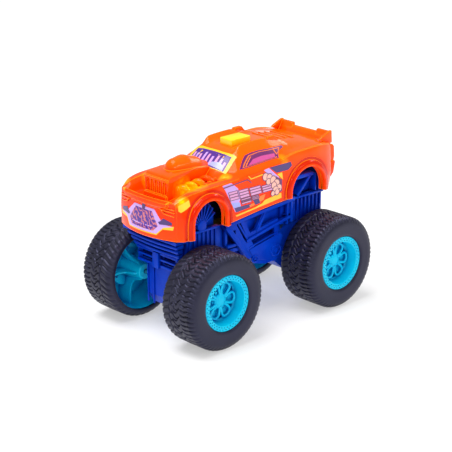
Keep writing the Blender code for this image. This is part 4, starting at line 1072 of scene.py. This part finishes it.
# Inner arches: a fan of ribs over the front wheels and a braced panel over the rear ones.
front_liner = [arched("front_liner", (-52.6, 88.0), 14.4, ((-67.0, 80.6), (-38.2, 80.6)), 20.5, 23.0)]
for k in range(9):
    angle = math.pi * (0.10 + 0.8 * k / 8)
    foot = (-53.5 + 3.4 * math.cos(angle), 84.4 + 3.4 * math.sin(angle))
    head = (-53.5 + 13.6 * math.cos(angle), 87.4 + 13.6 * math.sin(angle))
    front_liner.append(bar("fan_rib", foot, head, 1.1, "X", 22.6, 27.6, 0.3))
front_liner.append(drawn("fan_hub", circle(-53.5, 84.2, 4.4, 20), "X", 22.6, 28.2, 0.8))
rear_liner = [arched("rear_liner", (47.4, 91.2), 16.4, ((31.0, 85.6), (66.0, 85.6)), 20.0, 22.6),
              bar("arch_beam", (33.0, 100.2), (60.6, 100.2), 3.0, "X", 22.0, 29.0, 0.5),
              bar("arch_brace", (57.6, 99.8), (43.4, 85.8), 2.4, "X", 22.0, 29.0, 0.5),
              bar("arch_post", (63.6, 99.8), (63.6, 85.6), 1.8, "X", 22.0, 28.4, 0.4),
              drawn("arch_back", [(0, 85.0), (28.6, 85.0), (28.6, 101.0), (24.0, 106.0), (0, 106.0)],
                    "Y", 66.6, 68.6, 0.4),
              bar("arch_front", (31.6, 97.0), (31.0, 85.6), 1.8, "X", 22.0, 28.4, 0.4)]
finish(both_sides("inner_arches", front_liner + rear_liner), blue)

# Front: curved bars stacked under the nose, and gussets on the axle housing.
stack = []
for half, y, z in ((24.6, -74.6, 63.4), (25.6, -76.2, 67.4), (27.0, -78.4, 71.4), (29.4, -80.6, 75.8)):
    line = [(x, y + 2.2 * (x / half) ** 2, z + 1.2) for x in [half * (k / 6 - 1) for k in range(13)]]
    stack.append(tube("front_bar", line, 1.35, sides=3))
stack += [block("plate_post", (-3.4, -74.6, 50.0), (3.4, -70.6, 62.4), 0.5),
          block("plate_frame_low", (-21.6, -73.0, 50.8), (21.6, -70.6, 53.0), 0.5),
          block("plate_frame_mid", (-21.6, -73.0, 56.2), (21.6, -70.6, 57.8), 0.4),
          block("plate_frame_high", (-22.6, -73.2, 60.6), (22.6, -70.6, 62.8), 0.5)]
stack += [block("housing_rib", (x - 0.6, -71.2, 20.0), (x + 0.6, -69.8, 49.6), 0.4)
          for x in (-12.6, -6.2, 12.6)]
finish(joined("front_lattice", stack), blue)

# ---- carried parts ----------------------------------------------------------------------------
# Drawn steel and turned brass: bright metal with soft reflections. Nylon gears: milky and dull.
# Black ABS: the switches. Solder mask: a green waxy film. Cell jacket: glossy green wrap.
# Lamp resin: water-clear.
steel, _, _ = new_material("bright_steel", "#B8BAC0", 0.28, Metallic=1.0)
brass, _, _ = new_material("turned_brass", "#C9A25A", 0.32, Metallic=1.0)
# Each moulded one gets painted shade in its hollows from its third colour.
nylon = moulded("natural_nylon", "#EDEBDD", "#E2DFCF", "#C8C4B0", (0.4, 0.5))
dark = moulded("black_abs", "#18181A", "#101012", "#080809", (0.35, 0.5))
board = moulded("solder_mask_green", "#0E6A38", "#0B5A30", "#063A1E", (0.3, 0.4))
jacket = moulded("cell_jacket_film", "#1F5C38", "#184C2E", "#0E3420", (0.2, 0.3))
clear = moulded("lamp_resin", "#F6F2E6", "#F0EADA", "#D8CFB8", (0.08, 0.12), Transmission_Weight=0.8)
carried = {"chassis_blue": blue, "shell_orange": orange, "rim_cyan": cyan, "tyre_vinyl": vinyl,
           "button_yellow": yellow, "foil_label": INKS["purple"], "steel": steel, "brass": brass,
           "gear_nylon": nylon, "black_plastic": dark, "circuit_board": board, "cell_jacket": jacket,
           "lamp_clear": clear}

# Return spring of the roof button, drawn as short as the pressed button leaves it.
coil = tube("button_return_spring", [(5.1 * math.cos(math.tau * k / 12),
                                      BUTTON_Y + 5.1 * math.sin(math.tau * k / 12),
                                      116.7 + 6.6 * k / 60) for k in range(61)], 0.35, sides=3)
finish(coil, steel, nodes=("button_spring",))
for entry in frame["record"]["subparts"]:
    for slot in frame["nodes"][entry["node"]].material_slots:
        slot.material = carried[entry["material_slot"]]

# ---- stage ---------------------------------------------------------------------------------------
bpy.ops.object.select_all(action="DESELECT")
bpy.ops.mesh.primitive_plane_add(size=12)
floor = bpy.context.active_object
floor.name = "floor"
# Opal acrylic, lit from below: shadows on it stay pale.
table, _, _ = new_material("opal_acrylic_table", "#C4C4C4", 0.8, Emission_Strength=0.44,
                           Emission_Color=(1, 1, 1, 1), Specular_IOR_Level=0.1)
floor.data.materials.append(table)

world = bpy.data.worlds.new("studio")
world.use_nodes = True
dim = world.node_tree.nodes["Background"]
dim.inputs[0].default_value = (1, 1, 1, 1)
dim.inputs[1].default_value = 0.36        # how strongly the room lights the truck
glare = add(world.node_tree, "Background", {0: (1, 1, 1, 1), 1: 1.0})
seen = add(world.node_tree, "MixShader", links={0: add(world.node_tree,
                                                       "LightPath").outputs["Is Camera Ray"],
                                                1: dim.outputs[0], 2: glare.outputs[0]})
world.node_tree.links.new(seen.outputs[0], world.node_tree.nodes["World Output"].inputs[0])
bpy.context.scene.world = world


def lamp_panel(name, place, aim, size, power):
    """A soft box at a place in metres, turned to its aim."""
    light = bpy.data.lights.new(name, "AREA")
    light.shape = "RECTANGLE"
    light.size, light.size_y = size
    light.energy = power
    lamp = bpy.data.objects.new(name, light)
    lamp.location = place
    lamp.rotation_euler = (Vector(aim) - Vector(place)).to_track_quat("-Z", "Y").to_euler()
    bpy.context.scene.collection.objects.link(lamp)


sky = bpy.data.lights.new("key", "SUN")
sky.energy, sky.angle = 2.3, math.radians(40)
sky_lamp = bpy.data.objects.new("key", sky)
sky_lamp.rotation_euler = Vector((-0.15, -0.25, 1.0)).to_track_quat("Z", "Y").to_euler()
bpy.context.scene.collection.objects.link(sky_lamp)
lamp_panel("fill", (1.0, -0.7, 0.7), (0, 0, 0.07), (0.3, 0.3), 3.0)
lamp_panel("strip_left", (0.95, 0.15, 0.8), (0, 0, 0.1), (0.9, 0.06), 2.4)
lamp_panel("strip_top", (-0.1, -0.45, 1.05), (0, 0, 0.1), (0.9, 0.06), 2.4)
lamp_panel("back", (0.1, 1.0, 0.7), (0, 0, 0.1), (0.8, 0.2), 2.6)

AZIMUTH, ELEVATION = math.radians(46.6176), math.radians(19.0264)
VIEW_CENTRE, VIEW_DISTANCE = Vector((0, -0.0039, 0.0657)), 1.0883
toward = Vector((math.sin(AZIMUTH) * math.cos(ELEVATION), -math.cos(AZIMUTH) * math.cos(ELEVATION),
                 math.sin(ELEVATION)))
camera_data = bpy.data.cameras.new("camera")
camera_data.lens = 115.03
camera_data.sensor_width = 36.0
camera = bpy.data.objects.new("camera", camera_data)
camera.location = VIEW_CENTRE + toward * VIEW_DISTANCE
camera.rotation_euler = toward.to_track_quat("Z", "Y").to_euler()
bpy.context.scene.collection.objects.link(camera)
bpy.context.scene.camera = camera
bpy.context.scene.view_settings.view_transform = "Standard"
